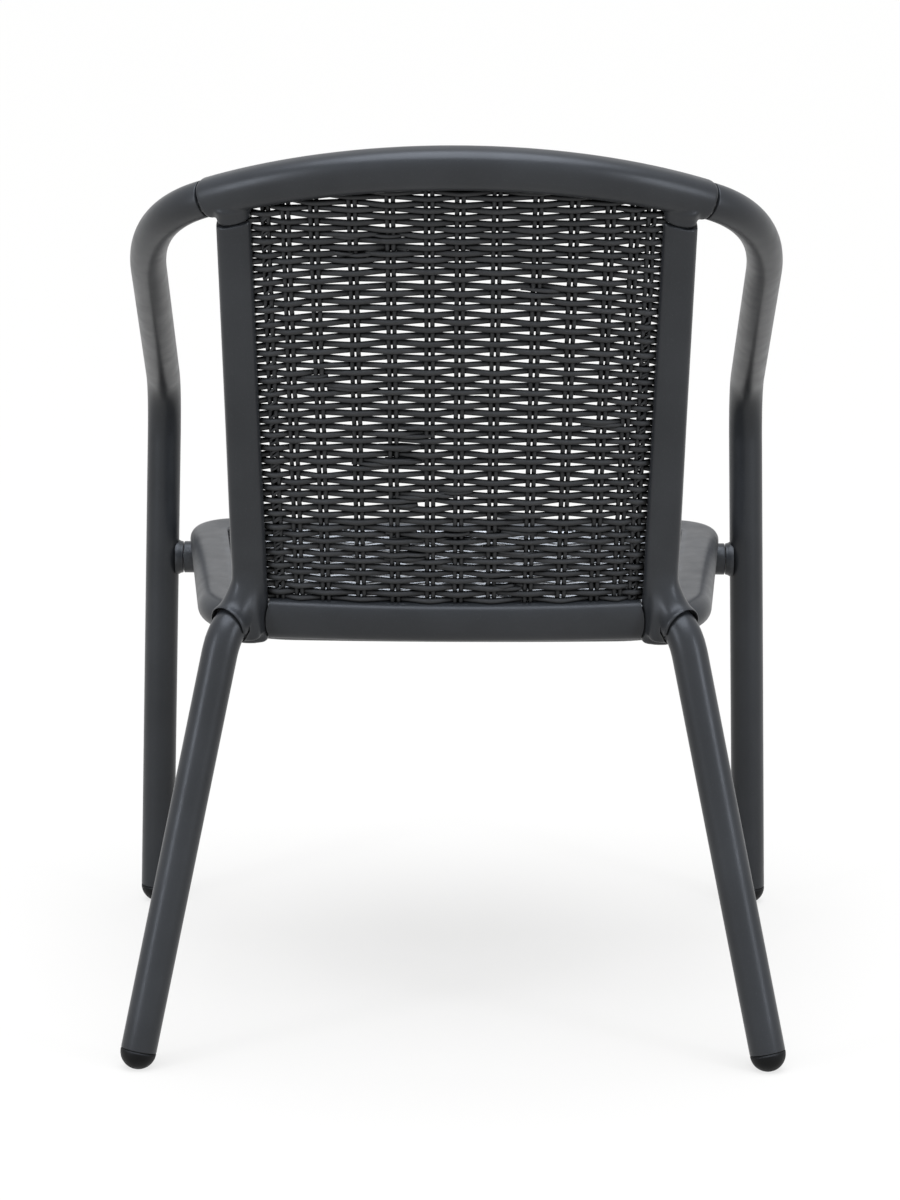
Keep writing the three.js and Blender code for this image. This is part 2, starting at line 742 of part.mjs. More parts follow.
function topTenon(grow) {
  return bar(
    along(node, uprightUp, seamHeight - UPRIGHT_CORNER),
    along(node, uprightUp, seamHeight + TENON_TALL + grow),
    box2(TENON_DEEP + grow * 2, TENON_WIDE + grow * 2),
    uprightSide,
  );
}

const crossInward = crossArc.tangentAt(crossArc.halfLength).negate();
function crossTenon(grow) {
  return bar(
    along(crossEnd, crossInward, -UPRIGHT_CORNER),
    along(crossEnd, crossInward, CROSS_TENON + grow),
    box2(TENON_DEEP + grow * 2, CROSS_TENON_TALL + grow * 2),
    Z_AXIS,
  );
}

const bossFrom = at(NODE_X, NODE_Y, BOSS_Z);
const FORWARD = Y_AXIS.clone().negate();
const bossReach = UPRIGHT_DEEP * HALF + SEAT_REAR_GAP + seatNose * 2;
const ringFaceY = seatOuter
  .filter((p) => p.x > 0 && p.y > seatMiddleY)
  .reduce((best, p) => (Math.abs(p.x - NODE_X) < Math.abs(best.x - NODE_X) ? p : best)).y;
const studFrom = at(NODE_X, NODE_Y - UPRIGHT_DEEP * HALF + STUD_INTO_NODE, BOSS_Z);
const studTo = at(NODE_X, ringFaceY - STUD_INTO_RING, BOSS_Z);
const studHole = roundBar(along(studFrom, FORWARD, -GAP), along(studTo, FORWARD, GAP), STUD_RADIUS + GAP);
const stud = roundBar(studFrom, studTo, STUD_RADIUS);

const railScrewAt = along(
  along(along(uprightTop, uprightUp, -RAIL_SCREW_BELOW), uprightSide, -RAIL_SCREW_INWARD),
  uprightDepth,
  uprightDepth.y < 0 ? RAIL_SCREW_SEAT : -RAIL_SCREW_SEAT,
);
const railScrewIn = uprightDepth.clone().multiplyScalar(uprightDepth.y < 0 ? -1 : 1);
const railScrewHole = screwHole(
  railScrewAt, railScrewIn, SCREW_RADIUS, SCREW_HEAD_RADIUS, RAIL_SCREW_LONG, RAIL_DEEP * HALF,
);
const railScrew = screw(
  railScrewAt, railScrewIn, SCREW_RADIUS, SCREW_HEAD_RADIUS, SCREW_HEAD_TALL, RAIL_SCREW_LONG,
);

const legScrewMiddle = kneeCurve.getPoint(LEG_SCREW_SHARE);
const legScrewOut = rearLegDown.clone().cross(socketOut).normalize();
const legScrewAt = along(legScrewMiddle, legScrewOut, TUBE_RADIUS);
const legScrewIn = legScrewOut.clone().negate();
const legScrewHole = screwHole(
  legScrewAt, legScrewIn, SCREW_RADIUS, SCREW_HEAD_RADIUS, LEG_SCREW_LONG, 0,
).add(screwHole(along(legScrewAt, legScrewOut, TUBE_WALL), legScrewIn, SCREW_RADIUS, 0, LEG_SCREW_LONG, 0));
const legScrew = screw(
  legScrewAt, legScrewIn, SCREW_RADIUS, SCREW_HEAD_RADIUS, SCREW_HEAD_TALL, LEG_SCREW_LONG,
);

const boss = roundBar(bossFrom, along(bossFrom, FORWARD, bossReach), BOSS_RADIUS)
  .subtract(ringEnvelope(GAP));
const upright = uprightBody(0)
  .add(horn)
  .add(legSpigot)
  .add(topTenon(0))
  .add(crossTenon(0))
  .add(boss)
  .subtract(backChannel)
  .subtract(studHole)
  .subtract(railScrewHole)
  .subtract(legScrewHole);

// Section of the rail, drawn in by a wall at its sides, its top and its underside
function railRing(length, atSides, above, below, count = OVAL_SIDES) {
  const share = (length / railArc.halfLength) ** 2;
  const { side, up } = frameOf(railArc.tangentAt(length), backUp);
  const tall = mix(RAIL_TALL, RAIL_END_TALL, share) - above - below;
  const wide = mix(RAIL_DEEP, RAIL_END_DEEP, share) - atSides * 2;
  const middle = along(railArc.pointAt(length), up, (below - above) * HALF);
  return place(superEllipse(wide, tall, RAIL_POWER, count), middle, side, up);
}

// Top rail with its necks, mortises and end bores
function railBody() {
  const stations = [];
  const rounded = (end) => {
    for (let i = 0; i <= EDGE_STEPS; i += 1) {
      const angle = (i / EDGE_STEPS) * TURN / 4;
      stations.push([
        end * (railArc.halfLength - RAIL_EDGE * (1 - Math.sin(angle))),
        RAIL_EDGE * (1 - Math.cos(angle)),
      ]);
    }
  };
  rounded(-1);
  stations.reverse();
  const inner = railArc.halfLength - RAIL_EDGE;
  for (let i = 1; i < RAIL_STEPS; i += 1) stations.push([mix(-inner, inner, i / RAIL_STEPS), 0]);
  rounded(1);
  return loft(stations.map(([length, inset]) => railRing(length, inset, inset, inset)));
}

// Hollow of the rail, from one end bore to the other
function railHollow() {
  const reach = railArc.halfLength - SPIGOT_BACK;
  return loft(Array.from({ length: RAIL_STEPS + 1 }, (unused, i) => (
    railRing(mix(-reach, reach, i / RAIL_STEPS), RAIL_WALL, RAIL_WALL, RAIL_FLOOR, BORE_SIDES)
  )));
}

const neck = loft(NECK_SHARES.map(([rise, flare]) => place(
  roundedBox(
    UPRIGHT_WIDE_TOP + flare * NECK_FLARE * 2,
    UPRIGHT_DEEP + flare * NECK_FLARE * 2,
    UPRIGHT_CORNER + flare * NECK_FLARE,
  ),
  along(node, uprightUp, seamHeight + rise * NECK_TALL),
  uprightSide,
  uprightDepth,
)));
const spigotBore = turned(railEnd, armOut.clone().negate(), [
  [0, -SPIGOT_BACK],
  [BORE_RADIUS, -SPIGOT_BACK],
  [BORE_RADIUS, SPIGOT_BACK + GAP],
  [0, SPIGOT_BACK + GAP],
], ROUND_SIDES);
const railCuts = topTenon(GAP).add(spigotBore).add(railScrewHole).add(beyond(railEnd, armOut));
const topRail = railBody()
  .add(neck)
  .add(mirrored(neck))
  .subtract(railHollow())
  .subtract(railCuts)
  .subtract(mirrored(railCuts))
  .subtract(backChannel);

// Cross rail, its ends shaped to the corner nodes
function crossBody() {
  const reach = crossArc.lengthAt(NODE_X);
  const rings = [];
  for (let i = 0; i <= CROSS_STEPS; i += 1) {
    const length = mix(-reach, reach, i / CROSS_STEPS);
    const share = Math.abs(length / reach) ** 3;
    const { side, up } = frameOf(crossArc.tangentAt(length), backUp);
    rings.push(place(
      superEllipse(CROSS_DEEP, mix(CROSS_TALL, CROSS_END_TALL, share), CROSS_POWER, OVAL_SIDES),
      crossArc.pointAt(length),
      side,
      up,
    ));
  }
  return loft(rings);
}

const crossCuts = uprightBody(GAP)
  .add(crossTenon(GAP))
  .add(beyond(at(crossEnd.x + CROSS_WRAP, NODE_Y, CROSS_Z), X_AXIS));
const crossRail = crossBody()
  .subtract(crossCuts)
  .subtract(mirrored(crossCuts))
  .subtract(backChannel);

// Tubes
const legStop = CAP_RIM + GAP;
const rearLeg = tubeAlong(new BentPath([
  [kneeCurve, KNEE_STEPS],
  [new THREE.LineCurve3(kneeCurve.v2, along(rearFoot, rearLegDown, -legStop)), 1],
]))
  .subtract(beyond(along(lipCentre, socketOut, GAP), socketOut.clone().negate()))
  .subtract(legScrewHole);

const ringLow = SEAT_TOP - SEAT_THICK;
const barZ = ringLow - BAR_BELOW_RING;
const barLegX = frontLegXAt(barZ);
const collarX = barLegX - TUBE_RADIUS - COLLAR_THICK;
const boltSeatX = barLegX - Math.sqrt((plugRadius + GAP) ** 2 - BOLT_HEAD_RADIUS ** 2);
const boltLong = boltSeatX - collarX + BOLT_INTO_BAR;
const INWARD = X_AXIS.clone().negate();
const boltAt = at(boltSeatX, FRONT_FOOT_Y, barZ);
const boltHole = screwHole(boltAt, INWARD, STUD_RADIUS, 0, boltLong, 0);
const bolt = screw(boltAt, INWARD, STUD_RADIUS, BOLT_HEAD_RADIUS, BOLT_HEAD_TALL, boltLong);

const armTube = tubeAlong(new BentPath([
  [armCurve, ARM_STEPS],
  [new THREE.LineCurve3(armCurve.v2, along(kink, armDown, -KINK_BEND)), 1],
  [new THREE.QuadraticBezierCurve3(
    along(kink, armDown, -KINK_BEND), kink, along(kink, frontLegDown, KINK_BEND),
  ), KINK_STEPS],
  [new THREE.LineCurve3(
    along(kink, frontLegDown, KINK_BEND), along(frontFoot, frontLegDown, -legStop),
  ), 1],
])).subtract(boltHole);

const armSpigot = sweep(
  [along(railEnd, armOut, -SPIGOT_BACK), railEnd,
    armCurve.getPoint(SPIGOT_AHEAD_SHARE * HALF), armCurve.getPoint(SPIGOT_AHEAD_SHARE)],
  [plugRadius, plugRadius, plugRadius, plugRadius],
  BORE_SIDES,
);

// Foot caps: a dome with a flat pad, a rim and a plug in the tube
function footCap(centre, down) {
  const dome = Array.from({ length: DOME_STEPS + 1 }, (unused, i) => {
    const angle = (i / DOME_STEPS) * TURN / 4;
    return [TUBE_RADIUS * Math.sin(angle), TUBE_RADIUS * Math.cos(angle)];
  });
  const cap = turned(centre, down, [
    [0, -CAP_PLUG],
    [plugRadius - CAP_PLUG_EDGE, -CAP_PLUG],
    [plugRadius, CAP_PLUG_EDGE - CAP_PLUG],
    [plugRadius, -CAP_RIM],
    [TUBE_RADIUS, -CAP_RIM],
    ...dome.reverse(),
  ], ROUND_SIDES);
  return cap.subtract(beyond(at(centre.x, centre.y, 0), Z_AXIS.clone().negate()));
}

// Bars, collars and screws under the ring's front; the bars are shaped to the ring
const barInnerX = barLegX - BAR_REACH;
const barLong = collarX - GAP - barInnerX;
const supportBar = turned(at(barInnerX, FRONT_FOOT_Y, barZ), X_AXIS, [
  [0, 0],
  [BAR_RADIUS - BAR_EDGE, 0],
  [BAR_RADIUS, BAR_EDGE],
  [BAR_RADIUS, barLong],
  [0, barLong],
], BAR_SIDES);
const ringScrewSeat = at(barInnerX + RING_SCREW_FROM_END, FRONT_FOOT_Y, barZ - RING_SCREW_SEAT);
const ringScrewLong = RING_SCREW_SEAT + BAR_BELOW_RING + RING_SCREW_INTO_RING;
const ringScrewHole = screwHole(
  ringScrewSeat, Z_AXIS, SCREW_RADIUS, SCREW_HEAD_RADIUS, ringScrewLong, BAR_RADIUS,
);
const ringScrew = screw(
  ringScrewSeat, Z_AXIS, SCREW_RADIUS, SCREW_HEAD_RADIUS, SCREW_HEAD_TALL, ringScrewLong,
);
const legEnvelope = roundBar(
  frontFoot,
  along(kink, frontLegDown, KINK_BEND),
  (TUBE_RADIUS + GAP) / flatShare(ROUND_SIDES),
  ROUND_SIDES,
);
const collar = turned(at(collarX, FRONT_FOOT_Y, barZ), X_AXIS, [
  [0, 0],
  [BAR_RADIUS, 0],
  [BAR_RADIUS, COLLAR_THICK * HALF],
  [BAR_RADIUS + COLLAR_FLARE, COLLAR_THICK],
  [BAR_RADIUS + COLLAR_FLARE, COLLAR_THICK + COLLAR_WRAP],
  [0, COLLAR_THICK + COLLAR_WRAP],
], BAR_SIDES).subtract(legEnvelope).subtract(boltHole);

// Materials
const COAT = new THREE.MeshStandardMaterial({ color: 0x45484b, roughness: 0.55, metalness: 0.1 });
const CAP = new THREE.MeshStandardMaterial({ color: 0x1d1d1e, roughness: 0.5, metalness: 0 });
const STRAND = new THREE.MeshStandardMaterial({ color: 0x3b3c3c, roughness: 0.65, metalness: 0 });
const STEEL = new THREE.MeshStandardMaterial({ color: 0x8b8e91, roughness: 0.35, metalness: 1 });

const group = new THREE.Group();

function addPiece(name, solid, material) {
  const mesh = new THREE.Mesh(geometryOf(solid), material);
  mesh.name = name;
  group.add(mesh);
}

function addPair(name, solid, material) {
  addPiece(`${name}_left`, solid, material);
  addPiece(`${name}_right`, mirrored(solid), material);
}

addPiece('top_rail', topRail, COAT);
addPair('arm_leg_tube', armTube, COAT);
addPair('arm_joint_spigot', armSpigot, STEEL);
addPair('back_upright', upright, COAT);
addPiece('back_cross_rail', crossRail, COAT);
addPair('rear_leg', rearLeg, COAT);
addPair('foot_cap_front', footCap(frontFoot, frontLegDown), CAP);
addPair('foot_cap_rear', footCap(rearFoot, rearLegDown), CAP);
addPiece('seat_ring', seatRing
  .subtract(ringHollow)
  .subtract(studHole).subtract(mirrored(studHole))
  .subtract(ringScrewHole).subtract(mirrored(ringScrewHole)), COAT);
addPiece('seat_weave', seatWeave, STRAND);
addPiece('seat_weave_rod', seatRod, STEEL);
addPiece('back_weave', backWeave, STRAND);
addPiece('back_weave_rod', backRod, STEEL);
addPair('seat_support_bar', supportBar
  .subtract(ringEnvelope(GAP))
  .subtract(boltHole)
  .subtract(ringScrewHole), COAT);
addPair('seat_support_collar', collar, COAT);
addPair('seat_support_bolt', bolt, STEEL);
addPair('seat_front_screw', ringScrew, STEEL);
addPair('seat_rear_stud', stud, STEEL);
addPair('rail_screw', railScrew, STEEL);
addPair('rear_leg_screw', legScrew, STEEL);

// The origin lies under the middle of the chair
const bounds = new THREE.Box3().setFromObject(group, true);
const middle = bounds.getCenter(at(0, 0, 0));
group.children.forEach((mesh) => mesh.geometry.translate(-middle.x, -middle.y, -bounds.min.z));

export default group;
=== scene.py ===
# Armchair with a bent tube frame, a woven back and a woven seat: looks, light and camera.
# Shapes are worked out in millimetres in the drawing frame of the CAD source, where the rear feet
# stand at y = 0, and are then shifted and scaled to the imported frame's metres.
import math
import random

import bpy
from mathutils import Matrix, Vector


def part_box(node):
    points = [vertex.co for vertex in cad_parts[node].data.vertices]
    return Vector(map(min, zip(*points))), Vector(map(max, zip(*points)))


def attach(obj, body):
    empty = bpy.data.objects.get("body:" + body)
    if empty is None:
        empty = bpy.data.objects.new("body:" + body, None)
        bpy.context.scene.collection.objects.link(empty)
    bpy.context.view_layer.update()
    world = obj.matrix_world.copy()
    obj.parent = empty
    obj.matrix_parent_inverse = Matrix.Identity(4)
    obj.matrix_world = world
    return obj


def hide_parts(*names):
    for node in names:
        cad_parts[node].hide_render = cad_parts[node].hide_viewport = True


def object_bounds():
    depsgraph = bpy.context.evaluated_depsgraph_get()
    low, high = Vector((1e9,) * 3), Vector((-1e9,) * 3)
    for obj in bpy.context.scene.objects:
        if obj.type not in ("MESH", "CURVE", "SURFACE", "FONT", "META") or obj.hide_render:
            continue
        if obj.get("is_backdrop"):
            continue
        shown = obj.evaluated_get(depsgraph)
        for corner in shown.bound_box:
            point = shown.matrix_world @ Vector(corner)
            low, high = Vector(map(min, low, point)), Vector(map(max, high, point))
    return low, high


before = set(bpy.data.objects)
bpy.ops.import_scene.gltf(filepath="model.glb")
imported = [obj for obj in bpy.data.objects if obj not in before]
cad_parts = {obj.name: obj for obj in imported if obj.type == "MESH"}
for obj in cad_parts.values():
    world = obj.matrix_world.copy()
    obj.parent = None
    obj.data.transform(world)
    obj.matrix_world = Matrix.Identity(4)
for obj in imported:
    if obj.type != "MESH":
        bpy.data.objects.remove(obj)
cad_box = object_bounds()
random.seed(7)
scene = bpy.context.scene

MM = 0.001
GAP = 0.3
TURN = math.tau
X_AXIS = Vector((1, 0, 0))
SHARP = math.radians(35)
RING_SHARP = math.radians(40)

# Sizes of the frame: the CAD source's, some of them fitted further to the view
TUBE_RADIUS = 16
BORE_RADIUS = 14
RAIL_HALF_SPAN = 213
RAIL_END_Y = -15
RAIL_END_Z = 775.5
RAIL_BOW = 53
RAIL_RISE = 34.5
RAIL_TALL = 37
RAIL_DEEP = 34
RAIL_END_TALL = 34
RAIL_END_DEEP = 33.4
RAIL_EDGE = 2.4
RAIL_POWER = 2.5
NECK_DROP = 23.5
NECK_TALL = 10
NECK_FLARE = 2.4
UPRIGHT_INSET = 22.6
NECK_SHARES = (
    (-0.05, -1.2), (0, -0.75), (0.08, -0.45), (0.3, -0.3), (0.6, 0), (0.9, 0.5), (1.2, 1), (1.9, -0.4),
)
NECK_TILT = 0.18
NECK_TILT_REACH = 40
NECK_BOW = 3
UPRIGHT_WIDE_TOP = 30.6
UPRIGHT_WIDE = 29.2
UPRIGHT_SPREAD = 2.4
UPRIGHT_DEEP = 26
UPRIGHT_POWER = 3.4
NODE_X = 182
NODE_Y = -97
NODE_Z = 390
NODE_BELOW = 24
NODE_EDGE = 3.5
FRONT_FOOT = Vector((292, -503, 15))
REAR_FOOT = Vector((279, 0, 15))
CAP_RIM = 1
CAP_RIM_EDGE = ((0.6, 0), (0.1, 0.4), (0, 1))
CAP_PLUG = 6
CAP_PLUG_EDGE = 1
CAP_PLUG_GAP = 0.6
CAP_STEP = 0.2
SOCKET_OUT = Vector((0.6, 0.72, -0.34)).normalized()
LIP_BEFORE_KNEE = 3.5
LIP_RAISE = 2
LIP_RADIUS = 20
HORN_START = 46
HORN_BEND = 20
HORN_RADIUS = 12
# Height on the node, and how much deeper towards the rear and wider towards the leg it is there
NODE_BULGE = ((48, 0, 0), (30, 4, 0), (14, 10, 1), (0, 13, 3), (-14, 14, 4))
NODE_BULGE_NARROWER = 5
KNEE_OFFSET = Vector((23, 29.5, -14.5))
KNEE_RISE = 8
KNEE_BEFORE = 14
KNEE_AFTER = 24
CROSS_Z = 388.8
CROSS_BOW = 14
CROSS_TALL = 37.2
CROSS_END_TALL = 39.5
CROSS_DEEP = 25
CROSS_WRAP = 3
CROSS_POWER = 2.6
CROSS_GROWTH = 3
ARM_REACH = 69
ARM_BEND_AFTER = 147
KINK = Vector((280, -503, 515))
KINK_BEND = 50
SEAT_TOP = 386
SEAT_THICK = 28
SEAT_FRONT_PAST = 16
SEAT_FRONT_BOW = 4
SEAT_REAR_GAP = 16.3
SEAT_REAR_BOW = 11
SEAT_LEG_GAP = 8.5
SEAT_NODE_OUT = 46
SEAT_FRONT_CORNER = 40
SEAT_REAR_CORNER = 85
RIM_WIDE = 36
LEDGE_WIDE = 8
LEDGE_DROP = 12
RIM_EDGE = 2.5
RIM_CROWN = 1.2
INNER_CORNER = 16
ROD_RADIUS = 3
ROD_IN_RAIL = 4
ROD_IN_CROSS = 3.75
BAR_RADIUS = 15.3
BAR_BELOW_RING = 10
BAR_EDGE = 3
BAR_EDGE_MIDDLE = 0.8
BAR_END_EDGE = 0.6
BAR_REACH = 62
COLLAR_THICK = 4.5
COLLAR_FLARE = 1.6
COLLAR_WRAP = 3
COLLAR_EDGE = 0.5
COLLAR_FULLER = 0.3
BOSS_RADIUS = 9
BOSS_Z = 372
SCREW_RADIUS = 2.2
SCREW_HEAD_RADIUS = 4
SCREW_HEAD_TALL = 2.4
SCREW_EDGE = 0.8
LEG_SCREW_LONG = 9
LEG_SCREW_SHARE = 0.7
RAIL_SCREW_BELOW = 12
RAIL_SCREW_INWARD = 3
RAIL_SCREW_SEAT = 10
RING_SCREW_FROM_END = 16
RING_SCREW_SEAT = 8

# Seams between pieces: how wide they show and how far their edges are rounded
SEAM = 1.7
SEAM_EDGE = 0.8
SOCKET_RADIUS = 17.7
SOCKET_DEEP = 8
# How far the cutters reach
SOCKET_CUT = 40
END_CUT_RADIUS = 80
END_CUT_LONG = 60
LEG_CUT_LONG = 480
LEG_ROOM_REACH = 90

# Melted skins: rounds of smoothing, and the zone that is smoothed further
VOXEL = 0.9
RAIL_SMOOTH = 5
NECK_ZONE_RISE = 1.2
NECK_ZONE_RADIUS = 30
NECK_ZONE_SMOOTH = 22
NODE_SMOOTH = 4
NODE_ZONE_RISE = 14
NODE_ZONE_RADIUS = 62
NODE_ZONE_SMOOTH = 150

# Strands of the two woven panels
WEFT_RADIUS = 2.65
WARP_RADIUS = 2
WRAP_RADIUS = 1.2
PAIR_GAP = 5.3
WEFT_LIFT = 2.5
WARP_LIFT = 0.8
PAIR_SHARES = (
    -0.935, -0.851, -0.728, -0.553, -0.379, -0.187, -0.015, 0.13, 0.312, 0.492, 0.677, 0.817, 0.92,
)
STRAND_EASE = 0.55
STRAND_UNEVEN = 0.05
WEFT_SPREAD = (0.95, 1.05)
LIFT_SPREAD = (0.9, 1.06)
BACK_DRIFT = 0.55
SEAT_DRIFT = 0.3
WARP_DRIFT = 0.25
# Strands' UVs: share of a whole number that one way round takes, and millimetres for each unit along
UV_ROUND = 0.998
UV_LONG = 10
# Thin strands wound round the outermost pairs
WRAPS = 2
WRAP_ROWS = (1.9, 2.2)
WRAP_REACH = (2.4, 3.4)
WRAP_DRIFT = 0.4
WRAP_LIFT = 2.6
# Tucked strand ends: share across, row, spread of both and how many
TAILS = (
    (0.41, 53, 0.14, 3, 8), (0.25, 26, 0.04, 6, 6), (0.25, 11, 0.05, 7, 8),
    (-0.27, 9, 0.05, 7, 9), (0.02, 12, 0.05, 8, 7), (-0.46, 38, 0.3, 14, 5), (0.6, 34, 0.2, 16, 5),
)
TAIL_LONG = (18, 42)
TAIL_RADIUS = (1.9, 2.3)
TAIL_SLOPE = 0.3
TAIL_LIFT = 2.6
TAIL_SINK = 0.4
TAIL_TURN_IN = 1.15
BACK_ROWS = 59
BACK_ROWS_ABOVE = 9
BACK_ROW_RISE = 13
BACK_ROW_EASE = 0.035
ROW_CREST = 0.82
ROW_FALL = 4.5
ROW_NUDGE = 0.07
PANEL_TOP = 0.99
ROW_LIMIT = 1.01
SEAT_ROW_PITCH = 6.2
SEAT_SAG = 2
STRAND_END = 6
WEFT_CLEAR = 9
WARP_CLEAR = 8
# Strand's way over the rod at the seat's edge: millimetres out and share of the rise
OVER_ROD = ((-5, 0.45), (-1.5, 1), (2.2, 0.75), (3.6, -0.2))

# Camera: millimetres in the drawing frame, and degrees
CAMERA_SPOT = Vector((8, 3984, 1394))
CAMERA_PITCH = 13.633
CAMERA_TURN = -0.05
CAMERA_ROLL = 0.25
CAMERA_LENS = 142
CAMERA_SENSOR = 36
CAMERA_REACH = 100

# Floor and light: metres and watts
FLOOR_WIDE = 80
FLOOR_COLOUR = (0.52, 0.48, 0.42, 1)
FLOOR_WHITE = 0.75
SKY_LIGHT = 0.15
TOP_LIGHT = 6.2
TOP_LIGHT_WIDE = 60
TOP_LIGHT_TILT = -10
LAMP_TARGET = Vector((0, 0.1, 0.45))
LAMP_TINT = (0.9, 0.98, 1.12)
LAMPS = (
    ("strip_left", Vector((2.4, 1.95, 1.2)), 0.5, 1.5, 40),
    ("strip_right", Vector((-2.4, 1.95, 1.2)), 0.5, 1.5, 40),
)

# Materials: sRGB greys of 0 to 255, then gloss and the range of roughness
COOL = (0.96, 1, 1.06)
COAT_DARK, COAT_LIGHT, COAT_SPECK, COAT_WORN = 38, 43, 66, 78
COAT_GLOSS = 0.21
COAT_ROUGH = (0.31, 0.38)
CAP_DARK, CAP_LIGHT, CAP_SCUFF = 9, 15, 88
CAP_GLOSS = 0.12
CAP_ROUGH = (0.42, 0.58)
# The last strand grey is near-black painted shade for the crevices between strands
STRAND_DARK, STRAND_LIGHT, STRAND_LINE, STRAND_SHEEN, STRAND_PAINTED_SHADE = 32, 45, 26, 76, 4
STRAND_GLOSS = 0.22
STRAND_ROUGH = (0.62, 0.76)
STRAND_SHADE_REACH = 0.009
BACK_SHINE = 0.05
SEAT_SHINE = 0.42
STEEL_LIGHT, STEEL_DARK = 168, 132
STEEL_ROUGH = (0.25, 0.45)

# Fineness of the shapes
TIP_RADIUS = 0.01
ROUND_SIDES = 64
SCREW_SIDES = 32
STRAND_SIDES = 10
RAIL_SIDES = 96
UPRIGHT_SIDES = 72
CURVE_STEPS = 40
STRAIGHT_STEPS = 12
RAIL_STEPS = 80
CROSS_STEPS = 96
UPRIGHT_STEPS = 40
ENVELOPE_STEPS = 6
NODE_EDGE_STEPS = 8
HORN_STEPS = 24
DOME_STEPS = 24
NOSE_STEPS = 24
RIM_STEPS = 8
SEAT_STEPS = 18
WEFT_STEPS = 8
WARP_STEPS = 2
WRAP_STEPS = 6
TAIL_STEPS = 12
DRIFT_EVERY = 8
HALVINGS = 20


def along(origin, direction, length):
    return origin + direction * length


def toward(start, end):
    return (end - start).normalized()


def mix(a, b, share):
    return a + (b - a) * share


def ease(share):
    return share * share * (3 - 2 * share)


def frame_of(direction, hint):
    """Two axes square to a direction, the second as near as it can be to a hint."""
    up = (hint - direction * hint.dot(direction)).normalized()
    return direction.cross(up), up


def hint_for(direction):
    return Vector((0, 1, 0)) if abs(direction.z) > 0.5 else Vector((0, 0, 1))


def super_ellipse(wide, tall, power, count):
    def bend(value):
        return math.copysign(abs(value) ** (2 / power), value)

    angles = [TURN * i / count for i in range(count)]
    return [(wide / 2 * bend(math.cos(a)), tall / 2 * bend(math.sin(a))) for a in angles]


def circle(radius, count):
    return super_ellipse(radius * 2, radius * 2, 2, count)


def place(section, origin, side, up):
    return [origin + side * x + up * y for x, y in section]


def loft(rings, loop=False):
    """Skin through closed rings of points, capped at its ends unless it is a loop."""
    count = len(rings[0])
    verts = [p for ring in rings for p in ring]
    faces = []
    bands = len(rings) if loop else len(rings) - 1
    for i in range(bands):
        a = i * count
        b = (i + 1) % len(rings) * count
        for j in range(count):
            k = (j + 1) % count
            faces.append((a + j, a + k, b + k, b + j))
    if not loop:
        last = (len(rings) - 1) * count
        faces.append(tuple(range(count - 1, -1, -1)))
        faces.append(tuple(range(last, last + count)))
    return verts, faces


def edge_steps(radius, steps=5):
    """Pairs of inset and set-back that round an end, from its face to its side."""
    angles = [TURN / 4 * i / steps for i in range(steps + 1)]
    return [(radius * (1 - math.sin(a)), radius * (1 - math.cos(a))) for a in angles]


def sweep(points, radii, count=ROUND_SIDES):
    """Round rod through points."""
    up = hint_for(toward(points[0], points[-1]))
    rings = []
    for i, point in enumerate(points):
        direction = toward(points[max(i - 1, 0)], points[min(i + 1, len(points) - 1)])
        side, up = frame_of(direction, up)
        rings.append(place(circle(radii[i], count), point, side, up))
    return loft(rings)


def turned(origin, direction, profile, count=ROUND_SIDES):
    """Turned body from pairs of radius and distance along a direction."""
    side, up = frame_of(direction, hint_for(direction))
    return loft([
        place(circle(max(radius, TIP_RADIUS), count), along(origin, direction, distance), side, up)
        for radius, distance in profile
    ])


def cylinder(origin, direction, radius, start, end, count=ROUND_SIDES):
    return turned(origin, direction, [(0, start), (radius, start), (radius, end), (0, end)], count)


def bezier(a, b, c, steps):
    shares = [i / steps for i in range(steps + 1)]
    return [a * (1 - t) ** 2 + b * 2 * t * (1 - t) + c * t * t for t in shares]


class Arc:
    """Arc in a leaning plane, measured along its length from the middle."""

    def __init__(self, end, middle):
        rise = Vector((0, middle.y - end.y, middle.z - end.z))
        self.out = rise.normalized()
        self.radius = (end.x ** 2 + rise.length ** 2) / (rise.length * 2)
        self.centre = along(middle, self.out, -self.radius)
        self.half_length = self.length_at(end.x)

    def length_at(self, x):
        return self.radius * math.asin(x / self.radius)

    def point_at(self, length):
        angle = length / self.radius
        outward = along(self.centre, self.out, self.radius * math.cos(angle))
        return outward + Vector((self.radius * math.sin(angle), 0, 0))

    def tangent_at(self, length):
        angle = length / self.radius
        return Vector((math.cos(angle), 0, 0)) - self.out * math.sin(angle)


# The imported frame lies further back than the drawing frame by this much
low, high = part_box("seat_support_bar_left")
SHIFT_Y = (low.y + high.y) / 2 / MM - FRONT_FOOT.y

# Curves that place the frame
rail_end = Vector((RAIL_HALF_SPAN, RAIL_END_Y, RAIL_END_Z))
rail_arc = Arc(rail_end, Vector((0, RAIL_END_Y + RAIL_BOW, RAIL_END_Z + RAIL_RISE)))
node = Vector((NODE_X, NODE_Y, NODE_Z))
upright_top = rail_arc.point_at(rail_arc.length_at(RAIL_HALF_SPAN - UPRIGHT_INSET))
upright_up = toward(node, upright_top)
seam_height = (upright_top - node).length - NECK_DROP
back_up = Vector((0, upright_up.y, upright_up.z)).normalized()
upright_depth, upright_side = frame_of(upright_up, X_AXIS)
cross_end = Vector((NODE_X - UPRIGHT_WIDE / 2, NODE_Y, CROSS_Z))
cross_arc = Arc(cross_end, Vector((0, NODE_Y + CROSS_BOW, CROSS_Z)))
rear_leg_down = toward(node + KNEE_OFFSET, REAR_FOOT)
knee = along(node + KNEE_OFFSET, rear_leg_down, -KNEE_RISE)
knee_start = along(knee, SOCKET_OUT, -KNEE_BEFORE)
leg_curve = bezier(knee_start, knee, along(knee, rear_leg_down, KNEE_AFTER), CURVE_STEPS)
lip_centre = along(knee, SOCKET_OUT, -LIP_BEFORE_KNEE) + Vector((0, 0, LIP_RAISE))
